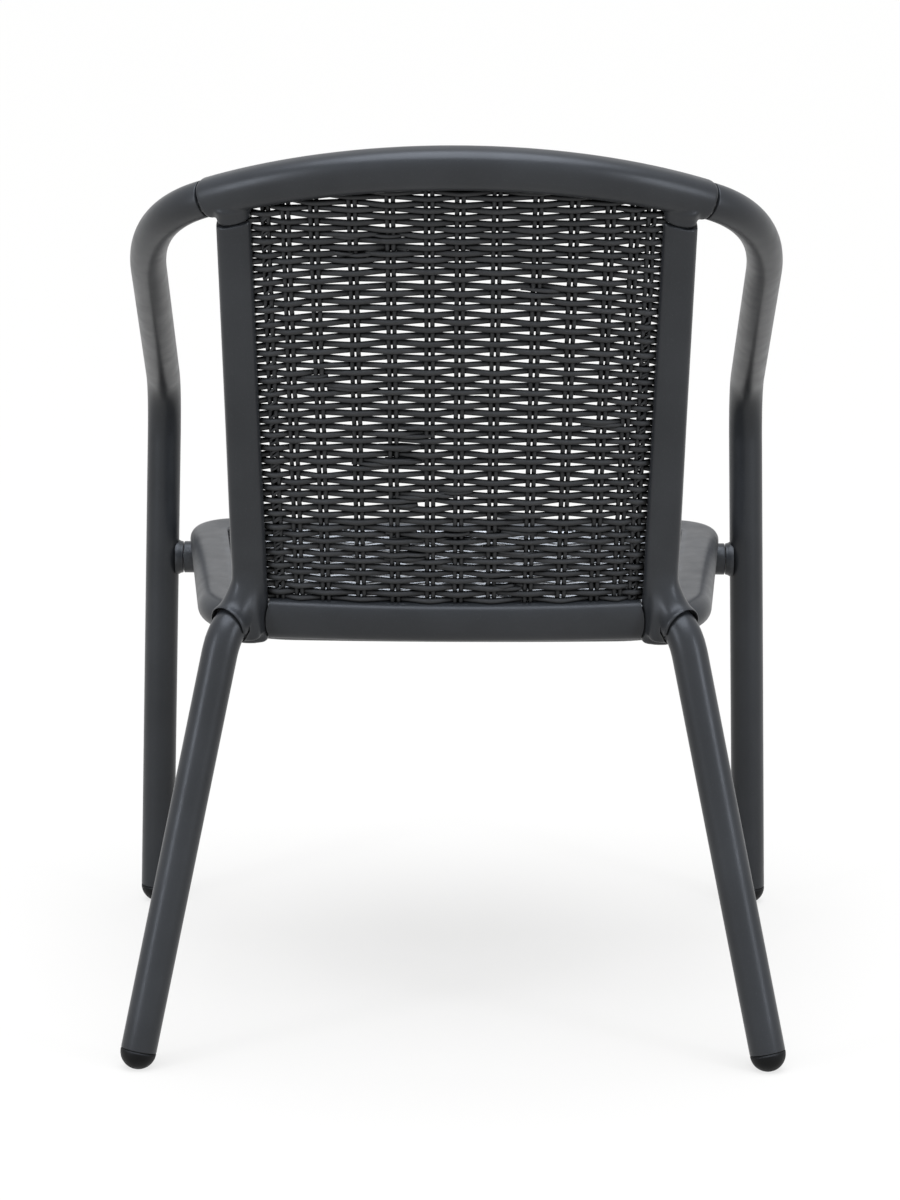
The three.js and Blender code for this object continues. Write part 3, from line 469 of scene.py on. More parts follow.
arm_out = rail_arc.tangent_at(rail_arc.half_length)
arm_corner = along(rail_end, arm_out, ARM_REACH)
arm_down = toward(arm_corner, KINK)
front_leg_down = toward(KINK, FRONT_FOOT)
leg_slope = front_leg_down.x / front_leg_down.z


def front_leg_x(z):
    return FRONT_FOOT.x + leg_slope * (z - FRONT_FOOT.z)


# Pieces and meshes
def linked(name, data):
    made = bpy.data.objects.new(name, data)
    scene.collection.objects.link(made)
    return made


def new_object(name, shape, uvs=None):
    verts, faces = shape if uvs else outward(shape)
    mesh = bpy.data.meshes.new(name)
    mesh.from_pydata([(p.x * MM, (p.y + SHIFT_Y) * MM, p.z * MM) for p in verts], [], faces)
    if uvs:
        layer = mesh.uv_layers.new(name="strand")
        for loop, uv in zip(layer.data, uvs):
            loop.uv = uv
    mesh.update()
    mesh.shade_smooth()
    return linked(name, mesh)


def bake(piece):
    """Applies the piece's modifiers."""
    graph = bpy.context.evaluated_depsgraph_get()
    mesh = bpy.data.meshes.new_from_object(piece.evaluated_get(graph))
    piece.modifiers.clear()
    piece.data = mesh
    mesh.name = piece.name
    mesh.shade_smooth()
    return piece


def outward(shape):
    """The shape with its faces turned outwards."""
    verts, faces = shape
    volume = 0
    for face in faces:
        for j in range(1, len(face) - 1):
            a, b, c = verts[face[0]], verts[face[j]], verts[face[j + 1]]
            volume += a.dot(b.cross(c))
    return (verts, [tuple(reversed(f)) for f in faces]) if volume < 0 else shape


def flipped(shape):
    """The shape on the other side of the middle plane."""
    verts, faces = shape
    return [Vector((-p.x, p.y, p.z)) for p in verts], faces


def joined(shapes):
    verts = []
    faces = []
    for shape_verts, shape_faces in map(outward, shapes):
        faces += [tuple(len(verts) + i for i in face) for face in shape_faces]
        verts += shape_verts
    return verts, faces


def smooth(piece, rounds, group=""):
    modifier = piece.modifiers.new("smooth", "SMOOTH")
    modifier.factor = 0.5
    modifier.iterations = rounds
    modifier.vertex_group = group
    bake(piece)


def fused(name, shapes, zones, rounds):
    """Overlapping shapes melted into one skin, smoothed further inside ball-shaped zones."""
    piece = new_object(name, joined(shapes))
    remesh = piece.modifiers.new("melt", "REMESH")
    remesh.mode = "VOXEL"
    remesh.voxel_size = VOXEL * MM
    smooth(piece, rounds)
    for centre, radius, zone_rounds in zones:
        middle = Vector((centre.x, centre.y + SHIFT_Y, centre.z)) * MM
        group = piece.vertex_groups.new(name="zone")
        for vertex in piece.data.vertices:
            share = 1 - (vertex.co - middle).length / (radius * MM)
            if share > 0:
                group.add([vertex.index], ease(min(1, share * 2)), "REPLACE")
        smooth(piece, zone_rounds, "zone")
        piece.vertex_groups.clear()
    return piece


def cut(piece, *cutters):
    """Takes the cutter shapes out of the piece."""
    tools = [new_object("cutter", shape) for shape in cutters]
    for tool in tools:
        modifier = piece.modifiers.new("cut", "BOOLEAN")
        modifier.operation = "DIFFERENCE"
        modifier.solver = "EXACT"
        modifier.object = tool
    bake(piece)
    for tool in tools:
        bpy.data.objects.remove(tool)
    piece.data.set_sharp_from_angle(angle=SHARP)
    return piece


def mirrored(piece, name):
    mesh = piece.data.copy()
    mesh.transform(Matrix.Scale(-1, 4, X_AXIS))
    mesh.flip_normals()
    return linked(name, mesh)


def dress(piece, material, slot, *nodes):
    piece.data.materials.clear()
    piece.data.materials.append(material)
    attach(piece, "root")
    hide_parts(*nodes)


def dress_pair(piece, base, material, slot):
    dress(mirrored(piece, f"{base}_skin_right"), material, slot, f"{base}_right")
    piece.name = f"{base}_skin_left"
    dress(piece, material, slot, f"{base}_left")


# Materials
def connect(tree, value, socket):
    """Joins a socket to another node's output, or sets it to a plain value."""
    if isinstance(value, bpy.types.NodeSocket):
        tree.links.new(value, socket)
    else:
        socket.default_value = value


def add_node(tree, kind, inputs=None, **settings):
    made = tree.nodes.new("ShaderNode" + kind)
    for key, value in settings.items():
        setattr(made, key, value)
    for key, value in (inputs or {}).items():
        connect(tree, value, made.inputs[key])
    return made


class Painter:
    """A material and short calls to add and join its nodes."""

    def __init__(self, name):
        self.material = bpy.data.materials.new(name)
        self.material.use_nodes = True
        self.tree = self.material.node_tree
        self.shader = self.tree.nodes["Principled BSDF"]

    def add(self, kind, inputs=None, **settings):
        return add_node(self.tree, kind, inputs, **settings)

    def place(self):
        return self.add("TexCoord").outputs["Object"]

    def noise(self, vector, scale, detail=2, roughness=0.5):
        return self.add("TexNoise", {
            "Vector": vector, "Scale": scale, "Detail": detail, "Roughness": roughness,
        }).outputs["Fac"]

    def ramp(self, value, low, high, low_result=0, high_result=1):
        return self.add("MapRange", {
            "Value": value, "From Min": low, "From Max": high,
            "To Min": low_result, "To Max": high_result,
        }).outputs["Result"]

    def blend(self, share, a, b):
        return self.add("Mix", {"Factor": share, 6: a, 7: b}, data_type="RGBA").outputs[2]

    def math(self, operation, a, b):
        return self.add("Math", {0: a, 1: b}, operation=operation).outputs[0]

    def bump(self, height, strength, distance):
        return self.add("Bump", {
            "Height": height, "Strength": strength, "Distance": distance,
        }).outputs["Normal"]

    def set(self, **inputs):
        for key, value in inputs.items():
            connect(self.tree, value, self.shader.inputs[key.replace("_", " ")])


def grey(value, tint=(1, 1, 1)):
    """Colour from an sRGB value of 0 to 255 and a tint."""
    level = value / 255
    linear = ((level + 0.055) / 1.055) ** 2.4
    return (linear * tint[0], linear * tint[1], linear * tint[2], 1)


def powder_coat():
    paint = Painter("powder_coat")
    place_on = paint.place()
    cloudy = paint.noise(place_on, 14, 3)
    mottle = paint.ramp(cloudy, 0.35, 0.65)
    colour = paint.blend(mottle, grey(COAT_DARK, COOL), grey(COAT_LIGHT, COOL))
    specks = paint.noise(place_on, 900, 2)
    colour = paint.blend(paint.ramp(specks, 0.62, 0.8, 0, 0.35), colour, grey(COAT_SPECK, COOL))
    worn = paint.ramp(paint.add("NewGeometry").outputs["Pointiness"], 0.53, 0.6)
    patchy = paint.ramp(paint.noise(place_on, 120, 4), 0.45, 0.7, 0, 0.4)
    colour = paint.blend(paint.math("MULTIPLY", worn, patchy), colour, grey(COAT_WORN, COOL))
    dull = paint.ramp(paint.noise(place_on, 60, 4), 0.3, 0.7, *COAT_ROUGH)
    peel = paint.add("Mix", {
        "Factor": 0.35, 2: paint.noise(place_on, 1500, 2), 3: paint.noise(place_on, 420, 2),
    }).outputs[0]
    rough = paint.bump(peel, 0.22, 0.0004)
    paint.set(Base_Color=colour, Roughness=dull, Specular_IOR_Level=COAT_GLOSS, Normal=rough)
    return paint.material


def cap_plastic():
    paint = Painter("foot_cap_plastic")
    place_on = paint.place()
    mottle = paint.ramp(paint.noise(place_on, 90, 3), 0.35, 0.65)
    colour = paint.blend(mottle, grey(CAP_DARK), grey(CAP_LIGHT))
    scuffs = paint.ramp(paint.noise(place_on, 260, 5, 0.7), 0.56, 0.72, 0, 0.5)
    height = paint.add("SeparateXYZ", {"Vector": place_on}).outputs["Z"]
    near_floor = paint.ramp(height, 0.008, 0, 0, 1)
    colour = paint.blend(paint.math("MULTIPLY", scuffs, near_floor), colour, grey(CAP_SCUFF))
    dull = paint.ramp(paint.noise(place_on, 150, 3), 0.3, 0.7, *CAP_ROUGH)
    grain = paint.bump(paint.noise(place_on, 1100, 3), 0.18, 0.0004)
    paint.set(Base_Color=colour, Roughness=dull, Specular_IOR_Level=CAP_GLOSS, Normal=grain)
    return paint.material


def woven_strand(name, shine):
    """Extruded strand: a tone for each strand, fine lines along it, painted shade in the crevices between
    strands and a waxy gloss.
    """
    paint = Painter(name)
    strand = paint.add("SeparateXYZ", {
        "Vector": paint.add("UVMap", uv_map="strand").outputs["UV"],
    })
    across = strand.outputs["X"]
    run = strand.outputs["Y"]
    which = paint.math("FLOOR", across, 0)
    tone = paint.add("TexWhiteNoise", {"W": which}, noise_dimensions="1D").outputs["Value"]
    colour = paint.blend(tone, grey(STRAND_DARK), grey(STRAND_LIGHT))
    lines = paint.add("CombineXYZ", {
        "X": paint.math("MULTIPLY", across, 26),
        "Y": paint.math("MULTIPLY", run, 2.2),
    }).outputs["Vector"]
    streaks = paint.noise(lines, 1, 3, 0.6)
    colour = paint.blend(paint.ramp(streaks, 0.4, 0.62, 0, 0.75), colour, grey(STRAND_LINE))
    colour = paint.blend(paint.ramp(streaks, 0.6, 0.72, 0, 0.4), colour, grey(STRAND_SHEEN))
    # Painted shade: where neighbouring strands are close (ambient occlusion), the colour goes near black
    # and the gloss drops
    painted_shade_probe = paint.add("AmbientOcclusion", {"Distance": STRAND_SHADE_REACH}, samples=6)
    unshaded_share = paint.ramp(painted_shade_probe.outputs["AO"], 0.38, 0.92)
    colour = paint.blend(unshaded_share, grey(STRAND_PAINTED_SHADE), colour)
    gloss = paint.math("MULTIPLY", unshaded_share, STRAND_GLOSS + shine * 2)
    dull = paint.ramp(streaks, 0.3, 0.7, STRAND_ROUGH[0] - shine, STRAND_ROUGH[1] - shine)
    lined = paint.bump(streaks, 0.5, 0.0005)
    paint.set(Base_Color=colour, Roughness=dull, Specular_IOR_Level=gloss, Normal=lined)
    return paint.material


def brushed_steel():
    paint = Painter("hidden_steel")
    place_on = paint.place()
    stained = paint.ramp(paint.noise(place_on, 70, 4), 0.35, 0.7)
    colour = paint.blend(stained, grey(STEEL_LIGHT), grey(STEEL_DARK))
    dull = paint.ramp(paint.noise(place_on, 500, 3), 0.3, 0.7, *STEEL_ROUGH)
    brushed = paint.add("Mapping", {"Vector": place_on, "Scale": (300, 300, 2600)})
    grain = paint.bump(paint.noise(brushed.outputs["Vector"], 1, 2), 0.1, 0.0002)
    paint.set(Base_Color=colour, Metallic=1, Roughness=dull, Normal=grain)
    return paint.material


coat = powder_coat()
cap_black = cap_plastic()
back_strand = woven_strand("back_strand", BACK_SHINE)
seat_strand = woven_strand("seat_strand", SEAT_SHINE)
steel = brushed_steel()


# Top rail with its necks
def rail_ring(length, inset):
    share = (length / rail_arc.half_length) ** 2
    side, up = frame_of(rail_arc.tangent_at(length), back_up)
    section = super_ellipse(
        mix(RAIL_DEEP, RAIL_END_DEEP, share) - inset * 2,
        mix(RAIL_TALL, RAIL_END_TALL, share) - inset * 2,
        RAIL_POWER,
        RAIL_SIDES,
    )
    return place(section, rail_arc.point_at(length), side, up)


def rail_shape():
    ends = [(rail_arc.half_length - back, inset) for inset, back in edge_steps(RAIL_EDGE)]
    inner = rail_arc.half_length - RAIL_EDGE
    stations = [(-length, inset) for length, inset in ends]
    stations += [(mix(-inner, inner, i / RAIL_STEPS), 0) for i in range(1, RAIL_STEPS)]
    stations += reversed(ends)
    return loft([rail_ring(length, inset) for length, inset in stations])


def upright_ring(top, height, wide, deep, inset=0, back=0, aside=0):
    """Tilted flat-sided ring with slightly full faces, at a height above the node."""
    middle = along(along(along(node, upright_up, height), upright_depth, back), upright_side, aside)
    section = super_ellipse(wide - inset * 2, deep - inset * 2, UPRIGHT_POWER, UPRIGHT_SIDES)
    return [tilted(p, top) for p in place(section, middle, upright_side, upright_depth)]


def neck_shape():
    rings = []
    for rise, flare in NECK_SHARES:
        grow = flare * NECK_FLARE * 2
        height = seam_height + rise * NECK_TALL
        rings.append(upright_ring(seam_height, height, UPRIGHT_WIDE_TOP + grow, UPRIGHT_DEEP + grow))
    return loft(rings)


def make_top_rail():
    seat = along(node, upright_up, seam_height + NECK_TALL * NECK_ZONE_RISE)
    zones = [
        (Vector((seat.x * side, seat.y, seat.z)), NECK_ZONE_RADIUS, NECK_ZONE_SMOOTH) for side in (1, -1)
    ]
    shapes = [rail_shape(), neck_shape(), flipped(neck_shape())]
    piece = fused("top_rail_skin", shapes, zones, RAIL_SMOOTH)
    screw_in = upright_depth if upright_depth.y > 0 else -upright_depth
    screw_at = along(along(upright_top, upright_up, -RAIL_SCREW_BELOW), upright_side, -RAIL_SCREW_INWARD)
    hole_from = along(screw_at, screw_in, -RAIL_SCREW_SEAT)
    hole = cylinder(hole_from, -screw_in, SCREW_HEAD_RADIUS + GAP, 0, RAIL_DEEP, SCREW_SIDES)
    cut(piece, hole, flipped(hole))
    dress(piece, coat, "frame_coat", "top_rail")


# Uprights with their corner nodes
def upright_rings(grow, top, count):
    rings = []

    def ring_at(height, wide, inset):
        rings.append(upright_ring(top, height, wide + grow * 2, UPRIGHT_DEEP + grow * 2, inset))

    for inset, back in edge_steps(SEAM_EDGE):
        ring_at(top - back, UPRIGHT_WIDE_TOP, inset)
    for i in range(1, count):
        share = i / count
        wide = mix(UPRIGHT_WIDE_TOP, UPRIGHT_WIDE, min(1, share * 2))
        ring_at(mix(top - SEAM_EDGE * 2, 0, share), wide, 0)
    ring_at(0, UPRIGHT_WIDE, 0)
    for inset, back in reversed(edge_steps(NODE_EDGE, NODE_EDGE_STEPS)):
        ring_at(back - NODE_BELOW - grow, UPRIGHT_WIDE, inset)
    return rings


def tilted(point, top):
    """Tilts the neck's seam up towards the middle and lets the upright widen inwards lower down."""
    height = (point - node).dot(upright_up)
    aside = (point - node).dot(upright_side)
    near = max(0, 1 - abs(height - top) / NECK_TILT_REACH)
    lower = min(1, max(0, 1 - height / top))
    inner = ease(min(1, max(0, 0.5 - aside / UPRIGHT_WIDE)))
    sag = NECK_BOW * max(0, 1 - (aside * 2 / UPRIGHT_WIDE_TOP) ** 2)
    raised = point - upright_up * ((aside * NECK_TILT + sag) * near)
    return raised - upright_side * (UPRIGHT_SPREAD * lower * inner)


def make_uprights():
    body = loft(upright_rings(0, seam_height - SEAM, UPRIGHT_STEPS))
    bend = along(lip_centre, SOCKET_OUT, -HORN_BEND)
    horn_line = bezier(along(node, upright_up, HORN_START), bend, lip_centre, HORN_STEPS)
    horn = sweep(horn_line, [mix(HORN_RADIUS, LIP_RADIUS, i / HORN_STEPS) for i in range(HORN_STEPS + 1)])
    bulge = []
    for height, deeper, wider in NODE_BULGE:
        wide = UPRIGHT_WIDE - NODE_BULGE_NARROWER + wider
        aside = (NODE_BULGE_NARROWER + wider) / 2
        bulge.append(upright_ring(seam_height, height, wide, UPRIGHT_DEEP + deeper, 0, deeper / 2, aside))
    boss_long = UPRIGHT_DEEP / 2 + SEAT_REAR_GAP + SEAT_THICK / 4
    boss = cylinder(Vector((NODE_X, NODE_Y, BOSS_Z)), Vector((0, -1, 0)), BOSS_RADIUS, 0, boss_long)
    zone = (along(node, upright_up, NODE_ZONE_RISE), NODE_ZONE_RADIUS, NODE_ZONE_SMOOTH)
    piece = fused("upright", [body, horn, loft(bulge), boss], [zone], NODE_SMOOTH)
    socket_from = along(lip_centre, SOCKET_OUT, -SOCKET_DEEP)
    socket = cylinder(socket_from, SOCKET_OUT, SOCKET_RADIUS, 0, SOCKET_CUT)
    leg_line = leg_curve + [along(knee, rear_leg_down, LEG_ROOM_REACH)]
    cut(piece, socket, sweep(leg_line, [SOCKET_RADIUS] * len(leg_line)))
    dress_pair(piece, "back_upright", coat, "frame_coat")


# Cross rail between the corner nodes
def make_cross_rail():
    reach = cross_arc.length_at(NODE_X)
    rings = []
    for i in range(CROSS_STEPS + 1):
        length = mix(-reach, reach, i / CROSS_STEPS)
        share = abs(length / reach) ** CROSS_GROWTH
        side, up = frame_of(cross_arc.tangent_at(length), back_up)
        tall = mix(CROSS_TALL, CROSS_END_TALL, share)
        section = super_ellipse(CROSS_DEEP, tall, CROSS_POWER, RAIL_SIDES)
        rings.append(place(section, cross_arc.point_at(length), side, up))
    piece = new_object("back_cross_rail_skin", loft(rings))
    envelope = loft(upright_rings(SEAM, seam_height, ENVELOPE_STEPS))
    wrap = Vector((cross_end.x + CROSS_WRAP, NODE_Y, CROSS_Z))
    beyond = cylinder(wrap, X_AXIS, END_CUT_RADIUS, 0, END_CUT_LONG)
    cut(piece, envelope, beyond, flipped(envelope), flipped(beyond))
    dress(piece, coat, "frame_coat", "back_cross_rail")


# Tubes
def straight(start, end):
    """Points of a straight run, without its first."""
    return [start.lerp(end, i / STRAIGHT_STEPS) for i in range(1, STRAIGHT_STEPS + 1)]


def rounded_tube(points):
    """Frame tube with rounded ends through points."""
    rim = edge_steps(SEAM_EDGE)
    start = toward(points[0], points[1])
    end = toward(points[-2], points[-1])
    line = [along(points[0], start, back) for inset, back in rim]
    radii = [TUBE_RADIUS - inset for inset, back in rim]
    line += points[1:-1]
    radii += [TUBE_RADIUS] * (len(points) - 2)
    for inset, back in reversed(rim):
        line.append(along(points[-1], end, -back))
        radii.append(TUBE_RADIUS - inset)
    return sweep(line, radii)


def make_rear_legs():
    foot_end = along(REAR_FOOT, rear_leg_down, -CAP_RIM - GAP)
    line = leg_curve + straight(leg_curve[-1], foot_end)
    leg = new_object("rear_leg", rounded_tube(line))
    dress_pair(leg, "rear_leg", coat, "frame_coat")

    screw_out = rear_leg_down.cross(SOCKET_OUT).normalized()
    screw_at = along(leg_curve[int(CURVE_STEPS * LEG_SCREW_SHARE)], screw_out, TUBE_RADIUS)
    screw = new_object("rear_leg_screw", turned(screw_at, screw_out, [
        (0, -LEG_SCREW_LONG), (SCREW_RADIUS, -LEG_SCREW_LONG), (SCREW_RADIUS, 0),
        (SCREW_HEAD_RADIUS, 0), (SCREW_HEAD_RADIUS, SCREW_HEAD_TALL - SCREW_EDGE),
        (SCREW_HEAD_RADIUS - SCREW_EDGE, SCREW_HEAD_TALL), (0, SCREW_HEAD_TALL),
    ], SCREW_SIDES))
    screw.data.set_sharp_from_angle(angle=SHARP)
    dress_pair(screw, "rear_leg_screw", steel, "steel_hidden")


def make_arms():
    curve_end = along(arm_corner, arm_down, ARM_BEND_AFTER)
    curve = bezier(along(rail_end, arm_out, SEAM), arm_corner, curve_end, CURVE_STEPS * 2)
    bend_start = along(KINK, arm_down, -KINK_BEND)
    bend = bezier(bend_start, KINK, along(KINK, front_leg_down, KINK_BEND), CURVE_STEPS)
    foot_end = along(FRONT_FOOT, front_leg_down, -CAP_RIM - GAP)
    line = curve + straight(curve[-1], bend_start) + bend[1:] + straight(bend[-1], foot_end)
    arm = new_object("arm_leg_tube", rounded_tube(line))
    dress_pair(arm, "arm_leg_tube", coat, "frame_coat")


def foot_cap_shape(centre, down):
    """Cap with a plug inside the tube and a dome that is flat where it meets the floor."""
    angles = [TURN / 4 * i / DOME_STEPS for i in range(DOME_STEPS + 1)]
    dome = [(TUBE_RADIUS * math.cos(a), TUBE_RADIUS * math.sin(a)) for a in angles]
    plug = BORE_RADIUS - CAP_PLUG_GAP
    profile = [
        (0, -CAP_PLUG), (BORE_RADIUS - CAP_PLUG_EDGE, -CAP_PLUG),
        (plug, CAP_PLUG_EDGE - CAP_PLUG), (plug, -CAP_RIM - CAP_STEP),
    ]
    profile += [(TUBE_RADIUS - inset, -CAP_RIM + rise) for inset, rise in CAP_RIM_EDGE]
    verts, faces = turned(centre, down, profile + dome)
    return [Vector((p.x, p.y, max(p.z, 0))) for p in verts], faces


def make_foot_caps():
    for base, centre, down in (
        ("foot_cap_front", FRONT_FOOT, front_leg_down), ("foot_cap_rear", REAR_FOOT, rear_leg_down),
    ):
        piece = new_object(base, foot_cap_shape(centre, down))
        dress_pair(piece, base, cap_black, "foot_cap_black")


# Seat ring
seat_rear_y = NODE_Y - UPRIGHT_DEEP / 2 - SEAT_REAR_GAP
seat_front_y = FRONT_FOOT.y - SEAT_FRONT_PAST
seat_front_x = front_leg_x(SEAT_TOP) - TUBE_RADIUS - SEAT_LEG_GAP
seat_rear_x = NODE_X + SEAT_NODE_OUT
seat_middle_y = (seat_rear_y + seat_front_y) / 2
seat_half_deep = (seat_rear_y - seat_front_y) / 2
seat_nose = SEAT_THICK / 2
seat_middle_z = SEAT_TOP - seat_nose
ledge_z = SEAT_TOP - LEDGE_DROP
ring_wide = RIM_WIDE + LEDGE_WIDE


def fillet(corner, before, after, radius):
    """Rounded corner between two straight edges of an outline."""
    a = toward(corner, before)
    b = toward(corner, after)
    half_angle = a.angle(b) / 2
    centre = along(corner, (a + b).normalized(), radius / math.sin(half_angle))
    reach = radius / math.tan(half_angle)
    start = along(corner, a, reach) - centre
    end = along(corner, b, reach) - centre
    turn = start.angle(end)
    points = []
    for i in range(SEAT_STEPS + 1):
        t = i / SEAT_STEPS
        arm = start * math.sin((1 - t) * turn) + end * math.sin(t * turn)
        points.append(centre + arm / math.sin(turn))
    return points


def seat_outline(inset, front_corner, rear_corner):
    slope = (seat_front_x - seat_rear_x) / (seat_rear_y - seat_front_y)
    front = seat_front_y + inset
    rear = seat_rear_y - inset

    def side_at(y):
        return seat_front_x - (y - seat_front_y) * slope - inset

    corners = [
        (Vector((side * side_at(y), y, 0)), radius) for side, y, radius in (
            (1, front, front_corner), (1, rear, rear_corner),
            (-1, rear, rear_corner), (-1, front, front_corner),
        )
    ]
    points = []
    for i, (corner, radius) in enumerate(corners):
        before = corners[i - 1][0]
        after, after_radius = corners[(i + 1) % 4]
        beyond = corners[(i + 2) % 4][0]
        rounded = fillet(corner, before, after, radius)
        next_start = fillet(after, corner, beyond, after_radius)[0]
        points += rounded
        points += [rounded[-1].lerp(next_start, k / SEAT_STEPS) for k in range(1, SEAT_STEPS)]
    bowed = []
    for p in points:
        depth_share = (p.y - seat_middle_y) / seat_half_deep
        side_share = max(1 - (p.x / seat_rear_x) ** 2, 0)
        bow = SEAT_REAR_BOW if depth_share > 0 else SEAT_FRONT_BOW
        bowed.append(Vector((p.x, p.y + bow * depth_share * side_share, 0)))
    return bowed


seat_outer = seat_outline(0, SEAT_FRONT_CORNER, SEAT_REAR_CORNER)
seat_inner = seat_outline(ring_wide, INNER_CORNER, SEAT_REAR_CORNER - ring_wide / 2)


def seat_loop(inset, z):
    return [
        Vector((mix(p.x, q.x, inset / ring_wide), mix(p.y, q.y, inset / ring_wide), z))
        for p, q in zip(seat_outer, seat_inner)
    ]


def nose_profile():
    angles = [(i / NOSE_STEPS - 0.5) * TURN / 2 for i in range(NOSE_STEPS + 1)]
    return [(seat_nose * (1 - math.cos(a)), seat_middle_z + seat_nose * math.sin(a)) for a in angles]


def make_seat_ring():
    profile = nose_profile()
    flat = RIM_WIDE - RIM_EDGE - seat_nose
    for i in range(1, RIM_STEPS + 1):
        share = i / RIM_STEPS
        profile.append((seat_nose + flat * share, SEAT_TOP - RIM_CROWN * share ** 2))
    for inset, back in edge_steps(RIM_EDGE):
        profile.append((RIM_WIDE - inset, SEAT_TOP - RIM_CROWN - RIM_EDGE + (RIM_EDGE - back)))
    wall_low = SEAT_TOP - SEAT_THICK
    profile += [
        (RIM_WIDE, ledge_z), (ring_wide, ledge_z),
        (ring_wide, wall_low + RIM_EDGE), (ring_wide - RIM_EDGE, wall_low),
    ]
    loops = [seat_loop(inset, z) for inset, z in profile]
    piece = new_object("seat_ring_skin", loft(loops, loop=True))
    piece.data.set_sharp_from_angle(angle=RING_SHARP)
    dress(piece, coat, "frame_coat", "seat_ring")


# Bars and collars under the ring's front
bar_z = SEAT_TOP - SEAT_THICK - BAR_BELOW_RING
bar_leg_x = front_leg_x(bar_z)
collar_x = bar_leg_x - TUBE_RADIUS - COLLAR_THICK


def make_supports():
    inner_x = bar_leg_x - BAR_REACH
    long = collar_x - SEAM / 2 - inner_x
    bar_end = Vector((inner_x, FRONT_FOOT.y, bar_z))
    bar = new_object("seat_support_bar", turned(bar_end, X_AXIS, [
        (0, 0), (BAR_RADIUS - BAR_EDGE, 0), (BAR_RADIUS - BAR_EDGE_MIDDLE, BAR_EDGE_MIDDLE),
        (BAR_RADIUS, BAR_EDGE), (BAR_RADIUS, long - BAR_END_EDGE), (BAR_RADIUS - BAR_END_EDGE, long),
        (0, long),
    ]))
    reach = 1 + GAP / seat_nose
    envelope = loft([
        seat_loop(seat_nose + (inset - seat_nose) * reach, seat_middle_z + (z - seat_middle_z) * reach)
        for inset, z in nose_profile()
    ])
    screw_at = Vector((inner_x + RING_SCREW_FROM_END, FRONT_FOOT.y, bar_z))
    down = Vector((0, 0, -1))
    hole = cylinder(screw_at, down, SCREW_HEAD_RADIUS + GAP, RING_SCREW_SEAT, BAR_RADIUS * 2, SCREW_SIDES)
    cut(bar, envelope, hole)
    dress_pair(bar, "seat_support_bar", coat, "frame_coat")
    wide = BAR_RADIUS + COLLAR_FLARE
    deep = COLLAR_THICK + COLLAR_WRAP
    collar_end = Vector((collar_x, FRONT_FOOT.y, bar_z))
    collar = new_object("seat_support_collar", turned(collar_end, X_AXIS, [
        (0, 0), (BAR_RADIUS - COLLAR_EDGE, 0), (BAR_RADIUS, COLLAR_EDGE),
        (BAR_RADIUS + COLLAR_FULLER, COLLAR_THICK / 2), (wide, COLLAR_THICK), (wide, deep), (0, deep),
    ]))
    cut(collar, cylinder(FRONT_FOOT, -front_leg_down, TUBE_RADIUS + GAP, 0, LEG_CUT_LONG))
    dress_pair(collar, "seat_support_collar", coat, "frame_coat")


# Woven panels
def weave_piece(name, strands):
    """One mesh of strands; each is a list of points and a list of radii."""
    sides = STRAND_SIDES
    verts = []
    faces = []
    uvs = []
    for number, (points, radii) in enumerate(strands):
        shape_verts, shape_faces = sweep(points, radii, sides)
        distance = [0]
        for a, b in zip(points, points[1:]):
            distance.append(distance[-1] + (b - a).length)
        offset = len(verts)
        verts += shape_verts
        for face in shape_faces:
            faces.append(tuple(offset + i for i in face))
            if len(face) != 4:
                uvs += [(number + 0.5, distance[face[0] // sides] / UV_LONG) for i in face]
                continue
            j = face[0] % sides
            for i in face:
                around = i % sides / sides
                if i % sides == 0 and j == sides - 1:
                    around = 1
                uvs.append((number + around * UV_ROUND, distance[i // sides] / UV_LONG))
    return new_object(name, (verts, faces), uvs)


def waver(spread, count):
    """Slow random drift, as a list of values."""
    step = DRIFT_EVERY
    marks = [random.uniform(-spread, spread) for i in range(count // step + 3)]
    return [mix(marks[i // step], marks[i // step + 1], ease(i % step / step)) for i in range(count)]


def woven_line(stops, lifts, at, radius, per_stop, drift):
    """Strand through stops, lifted off the panel by the given heights, wandering a little."""
    samples = []
    for (a, lift_a), (b, lift_b) in zip(zip(stops, lifts), zip(stops[1:], lifts[1:])):
        for i in range(per_stop):
            t = i / per_stop
            bend = mix(t, ease(t), STRAND_EASE)
            samples.append((mix(a, b, t), mix(lift_a, lift_b, bend)))
    samples.append((stops[-1], lifts[-1]))
    drifts = waver(drift, len(samples))
    points = [at(place_on, lift, aside) for (place_on, lift), aside in zip(samples, drifts)]
    width = waver(radius * STRAND_UNEVEN, len(samples))
    return points, [radius + w for w in width]


# Back panel
rail_to_rod = RAIL_TALL / 2 - ROD_IN_RAIL
cross_to_rod = CROSS_TALL / 2 - ROD_IN_CROSS
upright_to_rod = UPRIGHT_WIDE / 2 - ROD_RADIUS
top_half = rail_arc.length_at(upright_top.x - upright_to_rod)
low_half = cross_arc.length_at(NODE_X - upright_to_rod)
opening = (top_half - ROD_RADIUS) / top_half
back_pairs = [share * opening for share in PAIR_SHARES]


def back_low(across):
    return along(cross_arc.point_at(across * low_half), back_up, cross_to_rod)


def back_top(across):
    return along(rail_arc.point_at(across * top_half), back_up, -rail_to_rod)


def back_at(across, up, lift, aside=0):
    """Point of the back panel; a positive lift is towards the rear."""
    low_point = back_low(across)
    top_point = back_top(across)
    rise = toward(low_point, top_point)
    run = rail_arc.tangent_at(across * top_half).lerp(cross_arc.tangent_at(across * low_half), 1 - up)
    normal = rise.cross(run).normalized()
    if normal.y < 0:
        normal.negate()
    return low_point.lerp(top_point, up) + normal * lift + rise * aside


